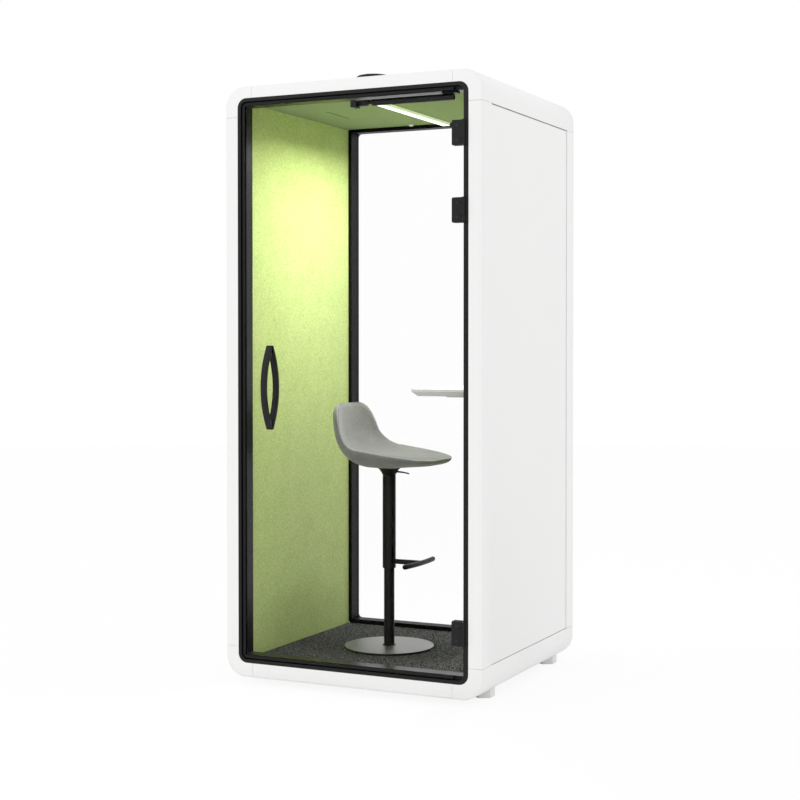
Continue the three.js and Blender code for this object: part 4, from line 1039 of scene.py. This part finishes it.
class POD_OT_stage(PodOperator):
    """Set the pale floor, the even sky, the soft lamp, the strip's own light and the camera"""

    bl_idname = "pod.stage"
    bl_label = "Studio"

    WHITE = (1.0, 1.0, 1.0, 1.0)
    FLOOR_REACH = 14.0
    FLOOR_SIDES = 96
    FLOOR_COLOUR = (0.9, 0.9, 0.9, 1.0)
    FLOOR_GLOW = 0.9
    KEY_PLACE = (-2.6, -4.4, 4.6)
    KEY_AIM = (0.0, 0.0, 1.1)
    KEY_SIZE = 3.4
    STRIP_DROP = 4 * MM
    STRIP_SPREAD = math.radians(160)

    def make(self, colours, sizes, studio):
        self.make_floor()
        self.make_sky(studio)
        self.make_lamps(studio)
        self.make_camera(studio)
        bpy.context.scene.view_settings.view_transform = "Standard"

    def seen(self, finish):
        """1 for rays that show the background to the camera, also by way of gloss and glass."""
        rays = [finish.add("ShaderNodeLightPath", None, None, out=f"Is {kind} Ray")
                for kind in ("Camera", "Glossy", "Transmission")]
        return rays[0] + rays[1] + rays[2]

    def make_floor(self):
        """Pale disc that keeps a faint shadow."""
        u = np.linspace(0, 2 * np.pi, self.FLOOR_SIDES, endpoint=False)
        radius = np.array([self.FLOOR_REACH, 0.0])[:, None]
        grid = np.stack([radius * np.cos(u), radius * np.sin(u), 0 * radius * u], axis=-1)
        mesh = mesh_of_grid("floor", grid)
        finish = Finish("pale_floor")
        glow = finish.add("ShaderNodeEmission", None, {"Color": self.WHITE, "Strength": 1.0})
        matt = finish.add("ShaderNodeBsdfDiffuse", None, {"Color": self.FLOOR_COLOUR})
        shown = finish.add("ShaderNodeMath", {"operation": "MINIMUM"}, {0: self.seen(finish), 1: 1.0})
        both = finish.add("ShaderNodeMixShader", None, {0: self.FLOOR_GLOW * shown, 1: matt, 2: glow})
        finish.add("ShaderNodeOutputMaterial", None, {"Surface": both})
        mesh.materials.append(finish.material)
        floor = bpy.data.objects.new("floor", mesh)
        bpy.context.scene.collection.objects.link(floor)

    def make_sky(self, studio):
        """Even white light, which the camera sees as plain white."""
        world = bpy.data.worlds.new("studio")
        world.use_nodes = True
        nodes, links = world.node_tree.nodes, world.node_tree.links
        nodes.clear()
        path = nodes.new("ShaderNodeLightPath")
        dim = nodes.new("ShaderNodeBackground")
        dim.inputs["Strength"].default_value = studio.sky
        bright = nodes.new("ShaderNodeBackground")
        for shade in (dim, bright):
            shade.inputs["Color"].default_value = self.WHITE
        shown = nodes.new("ShaderNodeMath")
        shown.operation = "MAXIMUM"
        links.new(path.outputs["Is Camera Ray"], shown.inputs[0])
        links.new(path.outputs["Is Transmission Ray"], shown.inputs[1])
        both = nodes.new("ShaderNodeMixShader")
        links.new(shown.outputs[0], both.inputs[0])
        links.new(dim.outputs[0], both.inputs[1])
        links.new(bright.outputs[0], both.inputs[2])
        end = nodes.new("ShaderNodeOutputWorld")
        links.new(both.outputs[0], end.inputs["Surface"])
        bpy.context.scene.world = world

    def make_lamps(self, studio):
        """A large soft lamp at the front, and the light that the ceiling strip throws down."""
        key = bpy.data.lights.new("key", "AREA")
        key.energy = studio.key_power
        key.size = self.KEY_SIZE
        lamp = bpy.data.objects.new("key", key)
        lamp.location = self.KEY_PLACE
        aim = Vector(self.KEY_AIM) - lamp.location
        lamp.rotation_euler = aim.to_track_quat("-Z", "Y").to_euler()
        bpy.context.scene.collection.objects.link(lamp)
        low, high, middle = span("light_diffuser")
        strip = bpy.data.lights.new("strip", "AREA")
        strip.shape = "RECTANGLE"
        strip.size = high[0] - low[0]
        strip.size_y = high[1] - low[1]
        strip.energy = studio.strip_power
        strip.spread = self.STRIP_SPREAD
        glow = bpy.data.objects.new("strip", strip)
        glow.location = (middle[0], middle[1], low[2] - self.STRIP_DROP)
        bpy.context.scene.collection.objects.link(glow)

    def make_camera(self, studio):
        """Camera at the photograph's viewing angle."""
        lens = bpy.data.cameras.new("camera")
        lens.lens = studio.camera_lens
        lens.shift_x = studio.shift_x
        lens.shift_y = studio.shift_y
        camera = bpy.data.objects.new("camera", lens)
        camera.location = studio.camera_place
        camera.rotation_euler = (studio.camera_tilt, 0.0, studio.camera_turn)
        bpy.context.scene.collection.objects.link(camera)
        bpy.context.scene.camera = camera


class POD_PT_panel(bpy.types.Panel):
    """Panel that lists the pod's pieces and settings"""

    bl_idname = "POD_PT_panel"
    bl_label = "Acoustic pod"
    bl_space_type = "VIEW_3D"
    bl_region_type = "UI"
    bl_category = "Pod"

    def draw(self, context):
        for operator in OPERATORS:
            self.layout.operator(operator.bl_idname)
        for group in pod_settings():
            box = self.layout.box()
            for name in group.bl_rna.properties.keys():
                if name not in {"rna_type", "name"}:
                    box.prop(group, name)


OPERATORS = (
    POD_OT_shell,
    POD_OT_linings,
    POD_OT_frames,
    POD_OT_fittings,
    POD_OT_fan,
    POD_OT_light,
    POD_OT_desk,
    POD_OT_feet,
    POD_OT_stool_column,
    POD_OT_stool_seat,
    POD_OT_stage,
)
GROUPS = {"pod_colours": PodColours, "pod_sizes": PodSizes, "pod_studio": PodStudio}


def register():
    """Registers the settings, the operators and the panel."""
    for name, group in GROUPS.items():
        bpy.utils.register_class(group)
        setattr(bpy.types.Scene, name, PointerProperty(type=group))
    for kind in (*OPERATORS, POD_PT_panel):
        bpy.utils.register_class(kind)


def unregister():
    """Takes back what register added."""
    for kind in reversed((*OPERATORS, POD_PT_panel)):
        bpy.utils.unregister_class(kind)
    for name, group in reversed(GROUPS.items()):
        delattr(bpy.types.Scene, name)
        bpy.utils.unregister_class(group)


def main():
    """Registers the add-on and makes every piece in order."""
    register()
    for operator in OPERATORS:
        family, action = operator.bl_idname.split(".")
        getattr(getattr(bpy.ops, family), action)()


if __name__ == "__main__":
    main()
